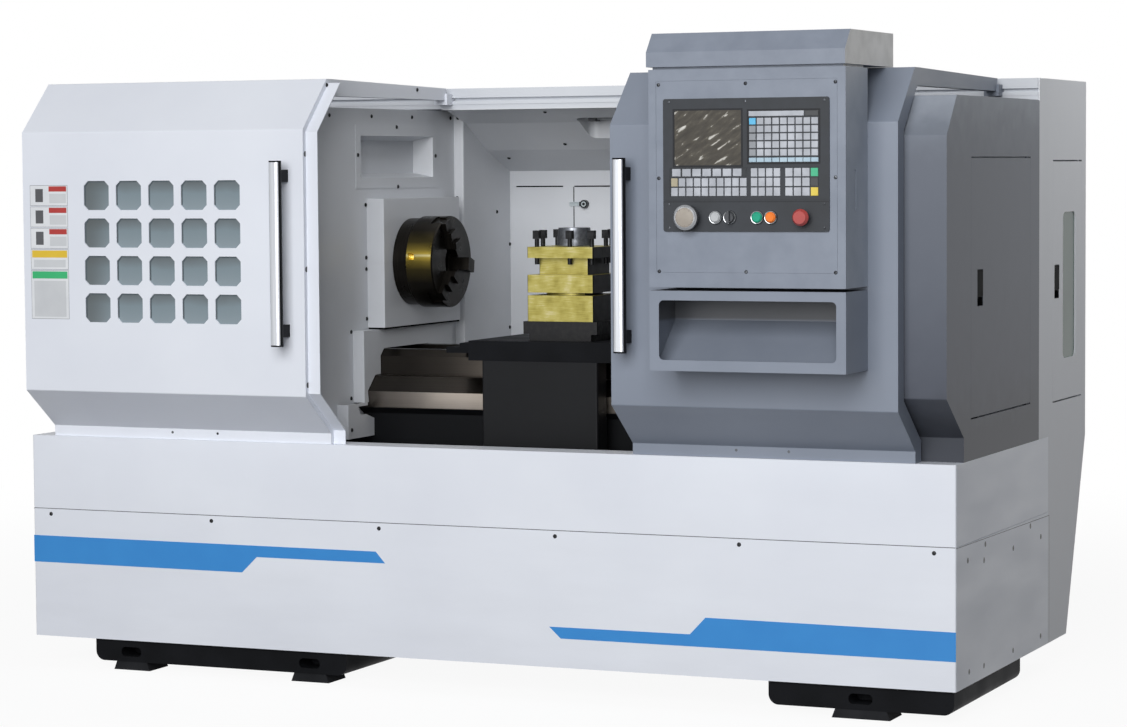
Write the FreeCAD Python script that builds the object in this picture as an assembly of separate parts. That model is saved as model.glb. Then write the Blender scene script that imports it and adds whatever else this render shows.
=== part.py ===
import FreeCAD, Part
import math
import os
from FreeCAD import Vector

# Flat-bed turning lathe with sliding front doors.  All sizes are in millimetres.
# The pieces are drawn with X from the left end of the skirt to the right, Y from the
# skirt's front face to the back and Z up from the skirt's bottom edge.  Each piece is
# moved as it is written, so that the floor under the middle of the machine is the origin.

# ---------------------------------------------------------------- main lines
LENGTH = 2620.0              # skirt, left to right
SHEET = 3.0                  # thickness of every sheet cover
BEND = 2.0                   # inner bend radius of the sheet
FLOOR_DROP = 83.0            # skirt bottom above the floor
SKIRT_TOP = 350.0            # seam between skirt and splash tray
HOUSING_TOP = 1495.0         # top of the rear housing
COVER_DEPTH = 748.0          # skirt's front face to the rear edge of the fixed covers
WALL_X = 863.0               # wall between the headstock and the work
SPINDLE_Y = 500.0            # spindle axis behind the skirt's front face
TRAY_FLOOR = SKIRT_TOP + 12.0   # sheet floor inside the tray, clamped under the bed
BED_TOP = TRAY_FLOOR + 420.0
SPINDLE_Z = BED_TOP + 234.0  # centre height over the ways

# ---------------------------------------------------------------- base and skirt
SKIRT_DEPTH = COVER_DEPTH + 94.0  # front face to the rear edge of the side sheets
SKIRT_LIP = 25.0             # inward fold of the skirt and tray edges
SEAM = 1.6                   # height and depth of the shadow line between skirt and tray
TRAY_TOP = SKIRT_TOP + 201.0
TRAY_LIP = 92.0              # front ledge of the tray, in front of the covers

LEFT_FOOT = (186.0, 956.0)   # left casting, from and to along the machine
RIGHT_FOOT = (LENGTH - 485.0, LENGTH - 8.0)
FOOT_FRONT = 12.0            # front face of both castings
FOOT_DEPTH_LEFT = 388.0      # depth of the front foot of the left casting
FOOT_DEPTH_RIGHT = 588.0
FOOT_BACK = SKIRT_DEPTH + 148.0
REAR_FOOT_DEPTH = 250.0
FOOT_HEIGHT = 60.0           # casting below the skirt
FOOT_ROUND = 26.0
PEDESTAL_WALL = 24.0
PEDESTAL_INSET = 40.0        # pedestal walls behind the faces of the feet
PEDESTAL_HALF = 250.0        # half width of the face that carries the bed
CORE_HOLE = 120.0            # half width of the opening in the pedestal's end walls
PAD_LENGTH = 112.0           # levelling pads at the floor
PAD_LENGTH_RIGHT = 150.0
PAD_DEPTH = 96.0
PAD_DRAFT = 9.0              # pad sides lean out by this much
PAD_INSET = 111.0            # pad centre from the ends of the left casting
PAD_RIGHT = 239.0            # pad centre from the left end of the right casting
PAD_FRONT = 62.0             # pad centre behind the foot's front face
POCKET_LENGTH = 62.0         # wrench pocket above each pad
POCKET_HEIGHT = 26.0
POCKET_DEPTH = 70.0

# ---------------------------------------------------------------- fixed covers
COVER_TOP = HOUSING_TOP - 57.0
COVER_FRONT = -78.0          # front plane of the fixed covers
COVER_TOP_FRONT = 5.0        # where the top chamfer ends
COVER_FOLD_TOP = COVER_TOP - 97.0
COVER_FOLD_LOW = TRAY_TOP + 163.0
COVER_STRIP = 65.0           # plane of the low vertical strip
COVER_STRIP_TOP = TRAY_TOP + 60.0
COVER_LIP = 28.0
RIGHT_COVER_FROM = LENGTH - 820.0  # inner edge of the right cover's front
BAR_HOLE = 55.0              # radius of the bar hole in the left end wall

SIDE_DOOR = (126.0, COVER_DEPTH - 86.0)  # right service door, front and rear edge
SIDE_DOOR_Z = (TRAY_TOP + 104.0, COVER_TOP - 151.0)
REAR_DOOR = (COVER_DEPTH + 138.0, COVER_DEPTH + 438.0)  # rear side door
REAR_DOOR_Z = (TRAY_TOP + 90.0, HOUSING_TOP - 217.0)
DOOR_GAP = 0.8               # gap at the upright edges of the service doors
DOOR_SLOT = 4.0              # gap at their top and bottom edges
STIFFENER_INSET = 22.0
STIFFENER_DEPTH = 14.0
HINGE_PIN = 3.0              # radius of the hinge rod behind a service door's sheet
HINGE_INSET = 24.0           # hinge axis from the door's edge
HINGE_PIN_REAR = 2.5         # the same two sizes on the rear access door
HINGE_INSET_REAR = 18.0
HINGE_SINK = 0.5             # how far the rod is welded into the sheet
HINGE_LUG = 11.0             # height of the lugs that hold the rod's ends
HINGE_END = 1.0              # rod ends inside the lugs
WINDOW = (REAR_DOOR[0] + 102.0, REAR_DOOR[1] - 68.0)  # glass in the rear side door
WINDOW_Z = (REAR_DOOR_Z[0] + 109.0, REAR_DOOR_Z[1] - 135.0)
WINDOW_ROUND = 20.0
WINDOW_OVERLAP = 14.0
GLASS = 4.0
LATCH_SIZE = (50.0, 90.0)    # flush latch, width and height
LATCH_EDGE = 53.0            # side door edge to the near side of its latch
LATCH_EDGE_REAR = 15.0       # the same on the rear side door
LATCH_Z = SIDE_DOOR_Z[0] + 315.0  # centre height of the side latches
LATCH_Z_REAR = REAR_DOOR_Z[0] + 318.0
LATCH_CUP = 16.0             # depth of the latch's cup behind the door
LATCH_CUP_ROUND = 3.0
LATCH_GAP = 0.4
LATCH_HEADROOM = 1.6         # gap above the paddle, for its swing
PADDLE_ROUND = 4.5           # its corners swing past the round corners of the cup
PADDLE_PIN = 3.0             # radius of the pin that the paddle swings on
PIN_DROP = 5.6               # pin centre below the top of the cup
FINGER_GAP = 22.0            # open part of the cup below the paddle

# ---------------------------------------------------------------- rear housing
HOUSING_REAR = COVER_DEPTH + 481.0
HOUSING_KNEE = TRAY_TOP - 24.0  # the back leans in below this height
HOUSING_TOE = SKIRT_DEPTH + 188.0  # rear edge at the skirt's bottom
REAR_WALL = HOUSING_REAR - 29.0  # inner face of the rear wall
ACCESS_DOOR = (WALL_X + 237.0, WALL_X + 535.0)
ACCESS_DOOR_Z = (TRAY_TOP + 249.0, COVER_TOP - 224.0)
ACCESS_SLOT = (WALL_X + 49.0, WALL_X + 201.0)
KNOB_X = 35.0                # latch knob from the door's edge
KNOB_Z = ACCESS_DOOR_Z[1] - 50.0
KNOB_RADIUS = 12.0
KNOB_HEIGHT = 14.0
KNOB_STUD = 5.0
KNOB_FINGER = (50.0, 13.0)   # length from the axis and width

RAIL_FRONT = COVER_DEPTH - 6.0  # front face of the top rail
RAIL_DEPTH = 34.0
GROOVE_Z = HOUSING_TOP - 31.0  # middle of the roller groove
GROOVE_HEIGHT = 9.0
GROOVE_DEPTH = 14.0
RAIL_STEP_Z = COVER_TOP + 12.0  # small shadow line in the lower lip
RAIL_STEP = 2.0

LAMP_FOLDS = (               # folds of the rear lamp panel, front to back
    (RAIL_FRONT + RAIL_DEPTH, COVER_TOP - SHEET),
    (COVER_DEPTH + 153.0, COVER_TOP - 39.0),
    (COVER_DEPTH + 293.0, COVER_TOP - 116.0),
    (REAR_WALL, COVER_TOP - 176.0),
)
LAMP_X = (WALL_X + 385.0, WALL_X + 777.0)  # recess for the work lamp
LAMP_Y = (COVER_DEPTH + 115.0, COVER_DEPTH + 235.0)
LAMP_PAN_TOP = COVER_TOP + 10.0
LAMP_ROUND = 22.0
LAMP_TUBE = 13.0             # radius of the lamp's tube
LAMP_INSET = 24.0            # lamp's ends from the recess's ends
LAMP_BRACKET = 22.0
LAMP_DROP = 27.0             # tube's axis below the recess's roof

# ---------------------------------------------------------------- headstock side
COVER_FIT = 0.3              # side wall to the inside of the front cover
WALL_STEP_Y = COVER_DEPTH + 135.0
WALL_BACK_X = WALL_X + 29.0  # face of the wall behind the step
RECESS_Y = (SPINDLE_Y - 228.0, SPINDLE_Y + 270.0)  # flange of the recessed box
RECESS_Z = (COVER_TOP - 220.0, COVER_TOP - 48.0)
RECESS_BORDER = 29.0
RECESS_TAPER = 12.0
RECESS_DEPTH = 58.0
RECESS_FLANGE = 1.5

GUARD_X = WALL_X + 33.0      # face of the way guard
GUARD_FRONT = SPINDLE_Y - 253.0
GUARD_REAR = SPINDLE_Y + 290.0
GUARD_Z = (BED_TOP - 139.0, BED_TOP + 54.0)
GUARD_LOW_FRONT = SPINDLE_Y - 348.0  # front edge of its lower sheet
GUARD_BED_GAP = 2.0

COVER_BOX_X = WALL_X + 52.0  # face of the headstock cover
COVER_BOX_Y = (SPINDLE_Y - 165.0, SPINDLE_Y + 305.0)
COVER_BOX_Z = (GUARD_Z[1] + 5.0, SPINDLE_Z + 174.0)
COVER_SPLIT = 1.2            # seam between its two halves
NOSE_HOLE = 97.0             # radius of the hole for the spindle nose

HEAD_X = (LEFT_FOOT[0] + 4.0, WALL_X - 25.0)  # headstock casting
HEAD_HALF = 170.0
HEAD_TOP = SPINDLE_Z + 154.0
HEAD_WALL = 30.0
HEAD_ROUND = 18.0
BEARING_OUT = 92.0
BEARING_GAP = 0.05           # running clearance on the spindle
BEARING_LENGTH = 46.0
BEARING_BOSS = 122.0
SPINDLE_RADIUS = 60.0
SPINDLE_BORE = 41.0
NOSE_RADIUS = 92.0
NOSE_LENGTH = 40.0
PULLEY_RADIUS = 112.0        # spindle pulley, where the belt runs
PULLEY_WIDTH = 84.0
PULLEY_X = LEFT_FOOT[0] - 102.0  # left face of both pulleys
PULLEY_FLANGE = 5.0          # height and thickness of the pulleys' flanges
MOTOR_RADIUS = 115.0
MOTOR_LENGTH = 400.0
MOTOR_Y = SPINDLE_Y + 60.0
MOTOR_Z = SKIRT_TOP - 145.0
MOTOR_FLANGE = 14.0          # thickness of its square flange
MOTOR_FLANGE_HALF = 144.0
MOTOR_SHAFT = 24.0
MOTOR_SEAT = 40.0            # shaft length inside the motor
MOTOR_PULLEY_RADIUS = 66.0

# ---------------------------------------------------------------- chuck
CHUCK_X = (COVER_BOX_X + 2.0, COVER_BOX_X + 123.0)  # rear and front face
CHUCK_RADIUS = 125.0
CHUCK_PLATE = 40.0           # length of the narrower rear part
CHUCK_PLATE_RADIUS = 119.0
CHUCK_SOFT_EDGE = 3.0
JAW_WIDTH = 34.0
JAW_SLOT_DEPTH = 30.0
JAW_FOOT = 46.0              # wide foot that holds the jaw in its slot
JAW_FOOT_DEPTH = 9.0
JAW_GAP = 0.4
JAW_STEPS = ((44.0, 62.0, 31.0), (62.0, 90.0, 22.0), (90.0, 119.0, 12.0))
JAW_ANGLES = (262.0, 22.0, 142.0)
KEY_HOLE = 9.0               # half width of the square key sockets in the rim
KEY_DEPTH = 26.0

# ---------------------------------------------------------------- bed
BED_X = (LEFT_FOOT[0], LENGTH - 150.0)
BED_SECTION = (              # half outline: (distance from the spindle plane, depth below the top)
    (134.0, 0.0),
    (154.0, 18.0),
    (154.0, 69.0),
    (188.0, 70.0),
    (231.0, 109.0),
    (224.0, 152.0),
    (196.0, 170.0),
)
BED_SIDE = [(half, BED_TOP - drop) for half, drop in BED_SECTION]
BED_CHANNEL_HALF = 96.0      # gap between the ways
BED_WALL = 38.0
BED_ARCH = TRAY_FLOOR + 108.0  # underside between the pedestals
BED_ARCH_ROUND = 60.0
RIB = 24.0
RIB_TOP = BED_TOP - 102.0
RIB_COUNT = 5
SCREW_Y = SPINDLE_Y - 48.0   # carriage ball screw, between the ways
SCREW_Z = BED_TOP - 44.0
SCREW_RADIUS = 16.0
SCREW_JOURNAL = 12.0
SCREW_X = (GUARD_X + 40.0, BED_X[1] - 30.0)
SCREW_BLOCK = 34.0           # thickness of the bearing blocks
SCREW_GAP = 0.06
SCREW_TAIL = 58.0            # drive end of the screw beyond its right block
SERVO_FLANGE = (75.0, 12.0)  # half width and thickness of the servo's flange
SERVO_BODY = (62.0, 122.0)   # half width and length of the servo's body
SERVO_ROUND = 14.0

# ---------------------------------------------------------------- carriage
TURRET_X = WALL_X + 610.0    # turret axis
TURRET_Y = SPINDLE_Y - 155.0
SADDLE_X = (TURRET_X - 244.0, TURRET_X + 244.0)
SADDLE_Y = (SPINDLE_Y - 300.0, SPINDLE_Y + 300.0)
SADDLE_LOW = BED_TOP - 16.0  # underside outside the ways
SADDLE_TOP = BED_TOP + 36.0
SLIDE_GAP = 0.3              # oil film between slides and ways
NUT_RADIUS = 30.0
NUT_LENGTH = 90.0
WIPERS = ((45.0, 9.0), (39.0, 20.0))  # length and height of the left wiper steps
WIPER_Y = (SADDLE_Y[0] + 40.0, SADDLE_Y[1] - 150.0)
APRON_X = (SADDLE_X[0] + 41.0, SADDLE_X[1] - 117.0)
APRON_FRONT = SADDLE_Y[0] - 4.0
APRON_REAR = SADDLE_Y[0] + 56.0
APRON_LOW = SADDLE_LOW - 296.0

TURRET_SIZE = 190.0
CROSS_Y = (TURRET_Y - 99.0, TURRET_Y + 305.0)
CROSS_HALF = 106.0
CROSS_NECK = 88.0            # half width of the dovetail's waist
CROSS_NECK_Z = SADDLE_TOP + 18.0
CROSS_TOP = SADDLE_TOP + 51.0
CROSS_RIB_HALF = 60.0
CROSS_RIB_Z = SADDLE_TOP - 12.0  # guide rib sunk in the saddle
TURRET_BASE_Z = CROSS_TOP + 68.0
TURRET_BOSS = 74.0
HEAD_LOW_Z = (TURRET_BASE_Z + 7.5, TURRET_BASE_Z + 54.0)  # turret head, lower plate
NECK_SIZE = 142.0
HEAD_TOP_Z = (TURRET_BASE_Z + 98.0, TURRET_BASE_Z + 127.0)
TURRET_CHAMFER = 3.0
SHAFT_RADIUS = 24.0
SHAFT_GAP = 0.05
CAP_RADIUS = (47.0, 42.0)
CAP_Z = (HEAD_TOP_Z[1] + 2.0, HEAD_TOP_Z[1] + 49.0)
BOLT_INSET = 14.0            # clamping bolts from the plate's edge
BOLT_OFFSETS = (-72.0, 22.0)
BOLT_SHANK = 6.0
BOLT_HEAD = 17.0             # across the flats of the square head
BOLT_HEAD_HEIGHT = 22.0
BOLT_TOP = HEAD_TOP_Z[1] + 43.0
BOLT_TIP = HEAD_TOP_Z[0] - 17.0

# ---------------------------------------------------------------- tailstock
TAIL_X = (LENGTH - 530.0, LENGTH - 210.0)
TAIL_BASE_HALF = 150.0
TAIL_BASE_TOP = BED_TOP + 68.0
TAIL_BARREL = 62.0
TAIL_WEB_HALF = 46.0
TAIL_WEB_INSET = 18.0
QUILL_RADIUS = 37.5
QUILL_OUT = 62.0             # quill in front of the body at rest
QUILL_BACK = 46.0            # closed end of the body behind the quill
QUILL_BEHIND = 6.0           # free space behind the quill at rest
CENTRE_LENGTH = 46.0
CENTRE_RADIUS = 15.0
QUILL_GAP = 0.05
WHEEL_RADIUS = 98.0
WHEEL_RIM = 11.0
WHEEL_HUB = 24.0
WHEEL_SHAFT = 12.0
WHEEL_OFF = 34.0             # rim's middle plane behind the tailstock
WHEEL_SPOKE = 9.0

# ---------------------------------------------------------------- sliding doors
DOOR_FRONT = COVER_FRONT - 51.0
DOOR_TOP = HOUSING_TOP + 11.0  # the doors hang from the rail on the housing
DOOR_TOP_Y = COVER_TOP_FRONT - 1.0
DOOR_TOP_LIP = 30.0
DOOR_FOLD_TOP = DOOR_TOP - 132.0
DOOR_FOLD_LOW = COVER_FOLD_LOW - 29.0
DOOR_STRIP_Y = COVER_STRIP - 58.0
DOOR_STRIP_TOP = COVER_STRIP_TOP - 31.0
DOOR_SEAT = 0.3              # under the doors
LEFT_DOOR = (69.0, WALL_X + 58.0)
RIGHT_DOOR = (LENGTH - 843.0, LENGTH - 104.0)
RETURN_OUTER = 46.0          # depth of the outer side returns
RETURN_INNER = 15.0          # depth of the returns that meet in the middle
SEAL_FLANGE = 34.0           # overlap strip on the left door
ARM_WIDTH = 27.0
ARM_LOW = DOOR_TOP - 44.0
ARM_END = RAIL_FRONT - 26.0
ARM_END_TOP = DOOR_TOP - 11.0
ARM_SET_IN = 37.0            # right door's inner arm, from its edge
ROLLER_X = 40.0              # roller carriage on the arm's end
ROLLER_HEIGHT = 15.0
ROLLER_REACH = 11.0          # tongue in the rail's groove
ROLLER_FRONT = RAIL_FRONT - 36.0
ROLLER_GAP = 1.0

GRID_X = LEFT_DOOR[0] + 191.0  # left edge of the first window cell
GRID_Z = DOOR_FOLD_LOW + 185.0  # lower edge of the lowest cell
GRID_CELL = 77.0
GRID_PITCH = 99.2
GRID_COLUMNS = 5
GRID_ROWS = 4
GRID_CHAMFER = 13.0
PANE_BORDER = 26.0
PANE = 4.0

HANDLE_LEFT_X = LEFT_DOOR[1] - 54.0
HANDLE_RIGHT_X = RIGHT_DOOR[0] + 45.0
HANDLE_Z = (DOOR_FOLD_LOW + 132.0, DOOR_FOLD_TOP - 80.0)
HANDLE_SIZE = (32.0, 25.0)   # section of the bar
HANDLE_ROUND = 11.0
HANDLE_OFF = 51.0            # bar axis in front of the door
BRACKET_SIZE = (20.0, 32.0)
BRACKET_INSET = 39.0

# ---------------------------------------------------------------- control station
BOX_X = (RIGHT_DOOR[0] + 169.0, RIGHT_DOOR[0] + 664.0)
BOX_FRONT = DOOR_FRONT - 162.0
BOX_Z = (DOOR_TOP - 522.0, DOOR_TOP - 4.0)
BOX_SLOT = (16.0, 96.0)      # pressed slot in the box's right side, width and height
BOX_SLOT_FRONT = 68.0        # slot's middle behind the box's front
BOX_SLOT_TOP = 240.0         # slot's top below the box's top
POCKET_Z = (BOX_Z[0] - 200.0, BOX_Z[0] - 8.0)
POCKET_BORDER = 24.0
POCKET_MOUTH_Z = (POCKET_Z[0] + 26.0, POCKET_Z[1] - 23.0)
POCKET_CORNER = 12.0
POCKET_SHELF_Z = POCKET_Z[0] + 115.0
POCKET_SHELF_FRONT = 133.0   # low edge of the sloped shelf, in front of the door plane
HOOD_SIDE = 2.0              # hood wider than the box on each side
HOOD_Z = (BOX_Z[1] + 6.0, BOX_Z[1] + 87.0)
HOOD_FRONT = BOX_FRONT - 9.0
HOOD_FOLD = HOOD_Z[0] + 35.0
HOOD_TOP_FRONT = HOOD_FRONT + 38.0
HOOD_REAR = DOOR_TOP_Y + 58.0
HOOD_NECK = 8.0              # inset of the shadow gap under the hood
PLATE_X = (BOX_X[0] + 20.0, BOX_X[1] - 21.0)
PLATE_Z = (BOX_Z[0] + 36.0, BOX_Z[1] - 28.0)
PLATE_GAP = 0.7
PANEL_X = (BOX_X[0] + 39.0, BOX_X[1] - 39.0)
PANEL_Z = (PLATE_Z[0] + 97.0, PLATE_Z[1] - 42.0)
PANEL_SPLIT = PANEL_Z[0] + 74.0
PANEL = 4.0                  # thickness of the dark panels
SCREEN_X = (PANEL_X[0] + 29.0, PANEL_X[0] + 198.0)
SCREEN_Z = (PANEL_Z[1] - 158.0, PANEL_Z[1] - 28.0)
KEYPAD_X = (PANEL_X[0] + 215.0, PANEL_X[1] - 24.0)
KEYPAD_Z = (PANEL_Z[1] - 154.0, PANEL_Z[1] - 30.0)
LOW_KEYS_X = (PANEL_X[0] + 17.0, PANEL_X[1] - 24.0)
LOW_KEYS_Z = (PANEL_SPLIT + 9.0, PANEL_SPLIT + 77.0)
BAY_DEPTH = 1.6              # recess of the screen and the keypads
KEY_HEIGHT = 1.0
KEY_MARGIN = 3.0

CONTROL_Z = PANEL_Z[0] + 34.0
WHEEL_X = PANEL_X[0] + 67.0  # pulse wheel
DIAL_RADIUS = 30.0
DIAL_HEIGHT = 34.0
BUTTON_RADIUS = 11.0
BEZEL_RADIUS = 15.0
BEZEL_HEIGHT = 5.0
BUTTON_HEIGHT = 11.0
BUTTON_TRAVEL = 3.0
BUTTON_GAP = 0.35
POWER_X = PANEL_X[0] + 134.0
SELECTOR_X = PANEL_X[0] + 170.0
START_X = PANEL_X[0] + 239.0
HOLD_X = PANEL_X[0] + 273.0
STOP_X = PANEL_X[0] + 353.0
STOP_RADIUS = 20.0
STOP_STEM = 11.0
STOP_HEIGHT = 30.0
STOP_TRAVEL = 6.0

FRONT_REACH = BOX_FRONT - PANEL - DIAL_HEIGHT
ORIGIN = Vector(LENGTH / 2, (FRONT_REACH + HOUSING_REAR) / 2, -FLOOR_DROP)

PLANES = {
    "x": lambda a, b, c: Vector(c, a, b),
    "y": lambda a, b, c: Vector(a, c, b),
    "z": lambda a, b, c: Vector(a, b, c),
}
AXES = {"x": Vector(1, 0, 0), "y": Vector(0, 1, 0), "z": Vector(0, 0, 1)}


# ================================================================ drawing helpers
def unit(start, end):
    """Direction from one flat point to the next."""
    run = math.dist(start, end)
    return ((end[0] - start[0]) / run, (end[1] - start[1]) / run)


def closed_wire(points, axis, level, radii=None):
    """Closed outline square to an axis; a corner with a radius is an arc."""
    place = PLANES[axis]
    radii = radii or [0.0] * len(points)
    ends = []
    for i, corner in enumerate(points):
        if radii[i] <= 0:
            ends.append((corner, None, corner))
            continue
        back = unit(corner, points[i - 1])
        ahead = unit(corner, points[(i + 1) % len(points)])
        cosine = max(-1.0, min(1.0, back[0] * ahead[0] + back[1] * ahead[1]))
        half = math.acos(cosine) / 2
        reach = radii[i] / math.tan(half)
        bisector = (back[0] + ahead[0], back[1] + ahead[1])
        length = math.hypot(*bisector)
        centre_off = radii[i] / math.sin(half)
        mid_off = centre_off - radii[i]
        entry = (corner[0] + back[0] * reach, corner[1] + back[1] * reach)
        leave = (corner[0] + ahead[0] * reach, corner[1] + ahead[1] * reach)
        middle = (corner[0] + bisector[0] / length * mid_off, corner[1] + bisector[1] / length * mid_off)
        ends.append((entry, middle, leave))
    edges = []
    for i, (entry, middle, leave) in enumerate(ends):
        if middle:
            arc = Part.Arc(place(*entry, level), place(*middle, level), place(*leave, level))
            edges.append(arc.toShape())
        following = ends[(i + 1) % len(ends)][0]
        if math.dist(leave, following) > 1e-6:
            edges.append(Part.LineSegment(place(*leave, level), place(*following, level)).toShape())
    return Part.Wire(edges)


def prism(points, axis, low, high, radii=None):
    """Solid of one flat outline, pulled along an axis."""
    face = Part.Face(closed_wire(points, axis, low, radii))
    return face.extrude(AXES[axis] * (high - low))


def rectangle(a, b):
    """Corner points of a rectangle between two spans."""
    return [(a[0], b[0]), (a[1], b[0]), (a[1], b[1]), (a[0], b[1])]


def slab(a, b, axis, low, high, radius=0.0):
    """Plate with a rectangular outline and equal corner radii."""
    return prism(rectangle(a, b), axis, low, high, [radius] * 4 if radius else None)


def block(x, y, z):
    """Plain box between three spans."""
    return Part.makeBox(x[1] - x[0], y[1] - y[0], z[1] - z[0], Vector(x[0], y[0], z[0]))


def rod(axis, centre, low, high, radius):
    """Round bar along an axis through a flat centre point."""
    return Part.makeCylinder(radius, high - low, PLANES[axis](centre[0], centre[1], low), AXES[axis])


def turned(profile, axis, centre):
    """Solid of revolution; the profile is a list of (position along the axis, radius)."""
    place = PLANES[axis]
    corners = [place(centre[0] + radius, centre[1], along) for along, radius in profile]
    face = Part.Face(Part.makePolygon(corners + corners[:1]))
    return face.revolve(place(centre[0], centre[1], 0), AXES[axis], 360)


def moved_left(points, distance):
    """Open run of points shifted to its left, with mitred corners."""
    steps = [unit(points[i], points[i + 1]) for i in range(len(points) - 1)]
    normals = [(-dy, dx) for dx, dy in steps]
    result = []
    for i, (a, b) in enumerate(points):
        first = normals[max(i - 1, 0)]
        second = normals[min(i, len(normals) - 1)]
        scale = distance / (1 + first[0] * second[0] + first[1] * second[1])
        result.append((a + (first[0] + second[0]) * scale, b + (first[1] + second[1]) * scale))
    return result


def bend_radii(points, left_radius, right_radius):
    """Corner radii of an open run: one for turns to the left, one for turns to the right."""
    radii = [0.0]
    for i in range(1, len(points) - 1):
        before = unit(points[i - 1], points[i])
        after = unit(points[i], points[i + 1])
        turn = before[0] * after[1] - before[1] * after[0]
        radii.append(left_radius if turn > 0 else right_radius)
    return radii + [0.0]


def folded(points, axis, low, high, thickness=SHEET):
    """Folded sheet: the run of points is its outer face, the metal lies to the left."""
    inner = moved_left(points, thickness)
    outer_radii = bend_radii(points, BEND + thickness, BEND)
    inner_radii = bend_radii(points, BEND, BEND + thickness)
    outline = points + inner[::-1]
    return prism(outline, axis, low, high, outer_radii + inner_radii[::-1])


def edge_return(points, depth, x):
    """Side return of a folded sheet: a band of the given depth behind its outer face."""
    return prism(points + moved_left(points, depth)[::-1], "x", x[0], x[1])


def union(shapes):
    """All shapes joined to one solid."""
    return shapes[0].multiFuse(shapes[1:]).removeSplitter()


def cover_run():
    """Outer faces of the fixed front covers, from the top edge down."""
    return [
        (COVER_TOP_FRONT, COVER_TOP),
        (COVER_FRONT, COVER_FOLD_TOP),
        (COVER_FRONT, COVER_FOLD_LOW),
        (COVER_STRIP, COVER_STRIP_TOP),
        (COVER_STRIP, TRAY_TOP),
    ]


def door_run():
    """Outer faces of the sliding doors, from the top edge down."""
    return [
        (DOOR_TOP_Y, DOOR_TOP),
        (DOOR_FRONT, DOOR_FOLD_TOP),
        (DOOR_FRONT, DOOR_FOLD_LOW),
        (DOOR_STRIP_Y, DOOR_STRIP_TOP),
        (DOOR_STRIP_Y, TRAY_TOP + DOOR_SEAT),
    ]


def bed_outline(gap, floor):
    """Closed section of the bed, grown by a gap, down to a floor height."""
    run = [(BED_CHANNEL_HALF, BED_TOP)] + BED_SIDE + [(BED_SIDE[-1][0], floor)]
    half = moved_left(run, gap)[1:]
    near = [(SPINDLE_Y - h, z) for h, z in reversed(half)]
    return near + [(SPINDLE_Y + h, z) for h, z in half]


# ================================================================ feet, skirt and tray
def pedestal(span, foot_depth):
    """Hollow casting on two feet, with a flat head for the bed."""
    head = TRAY_FLOOR - SHEET
    low = -FOOT_HEIGHT / 2
    inner_x = (span[0] + PEDESTAL_INSET, span[1] - PEDESTAL_INSET)
    front = FOOT_FRONT + PEDESTAL_INSET
    back = FOOT_BACK - PEDESTAL_INSET
    seat = (SPINDLE_Y - PEDESTAL_HALF, SPINDLE_Y + PEDESTAL_HALF)
    outer = [(front, low), (back, low), (seat[1], head), (seat[0], head)]
    slope = PEDESTAL_WALL * 1.15
    roof = head - PEDESTAL_WALL
    lean = (seat[0] - front) / (head - low)
    cavity = [
        (front + slope, low),
        (back - slope, low),
        (back - slope - lean * (roof - low), roof),
        (front + slope + lean * (roof - low), roof),
    ]
    walls = prism(outer, "x", *inner_x)
    walls = walls.cut(prism(cavity, "x", inner_x[0] + PEDESTAL_WALL, inner_x[1] - PEDESTAL_WALL))
    y = (MOTOR_Y - CORE_HOLE, MOTOR_Y + CORE_HOLE)
    z = (MOTOR_Z - CORE_HOLE, MOTOR_Z + CORE_HOLE)
    walls = walls.cut(slab(y, z, "x", inner_x[0] - 1, inner_x[1] + 1, FOOT_ROUND))
    outline = rectangle(span, (-FOOT_HEIGHT, 0))
    radii = [FOOT_ROUND, FOOT_ROUND, 0, 0]
    near = prism(outline, "y", FOOT_FRONT, FOOT_FRONT + foot_depth, radii)
    far = prism(outline, "y", FOOT_BACK - REAR_FOOT_DEPTH, FOOT_BACK, radii)
    return union([walls, near, far])


def wrench_pocket(x):
    """Recess in the front of a foot, above a levelling pad."""
    z = (-FOOT_HEIGHT + 14, -FOOT_HEIGHT + 14 + POCKET_HEIGHT)
    half = POCKET_LENGTH / 2
    y = (FOOT_FRONT - 1, FOOT_FRONT + POCKET_DEPTH)
    return slab((x - half, x + half), z, "y", *y, POCKET_HEIGHT * 0.45)


def pad(x, y, length):
    """Tapered levelling pad between the floor and a foot."""
    low, high = length / 2, length / 2 - PAD_DRAFT
    outline = [
        (x - low, -FLOOR_DROP),
        (x + low, -FLOOR_DROP),
        (x + high, -FOOT_HEIGHT),
        (x - high, -FOOT_HEIGHT),
    ]
    return prism(outline, "y", y - PAD_DEPTH / 2, y + PAD_DEPTH / 2)


left_pad_x = (LEFT_FOOT[0] + PAD_INSET, LEFT_FOOT[1] - PAD_INSET)
right_pad_x = RIGHT_FOOT[0] + PAD_RIGHT
left_pedestal = pedestal(LEFT_FOOT, FOOT_DEPTH_LEFT)
for pocket_x in left_pad_x:
    left_pedestal = left_pedestal.cut(wrench_pocket(pocket_x))
right_pedestal = pedestal(RIGHT_FOOT, FOOT_DEPTH_RIGHT).cut(wrench_pocket(right_pad_x))
pads = []
for pad_y in (PAD_FRONT, FOOT_BACK - PAD_FRONT):
    pads += [pad(x, pad_y, PAD_LENGTH) for x in left_pad_x]
    pads.append(pad(right_pad_x, pad_y, PAD_LENGTH_RIGHT))

plan = [(0, SKIRT_DEPTH), (0, 0), (LENGTH, 0), (LENGTH, SKIRT_DEPTH)]


def shelf(depth_front, depth_side, low, high):
    """Flat U-shaped ledge inside the skirt's outline."""
    plate = block((SHEET, LENGTH - SHEET), (SHEET, SKIRT_DEPTH), (low, high))
    hole_x = (depth_side, LENGTH - depth_side)
    return plate.cut(block(hole_x, (depth_front, SKIRT_DEPTH + 1), (low - 1, high + 1)))


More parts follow.
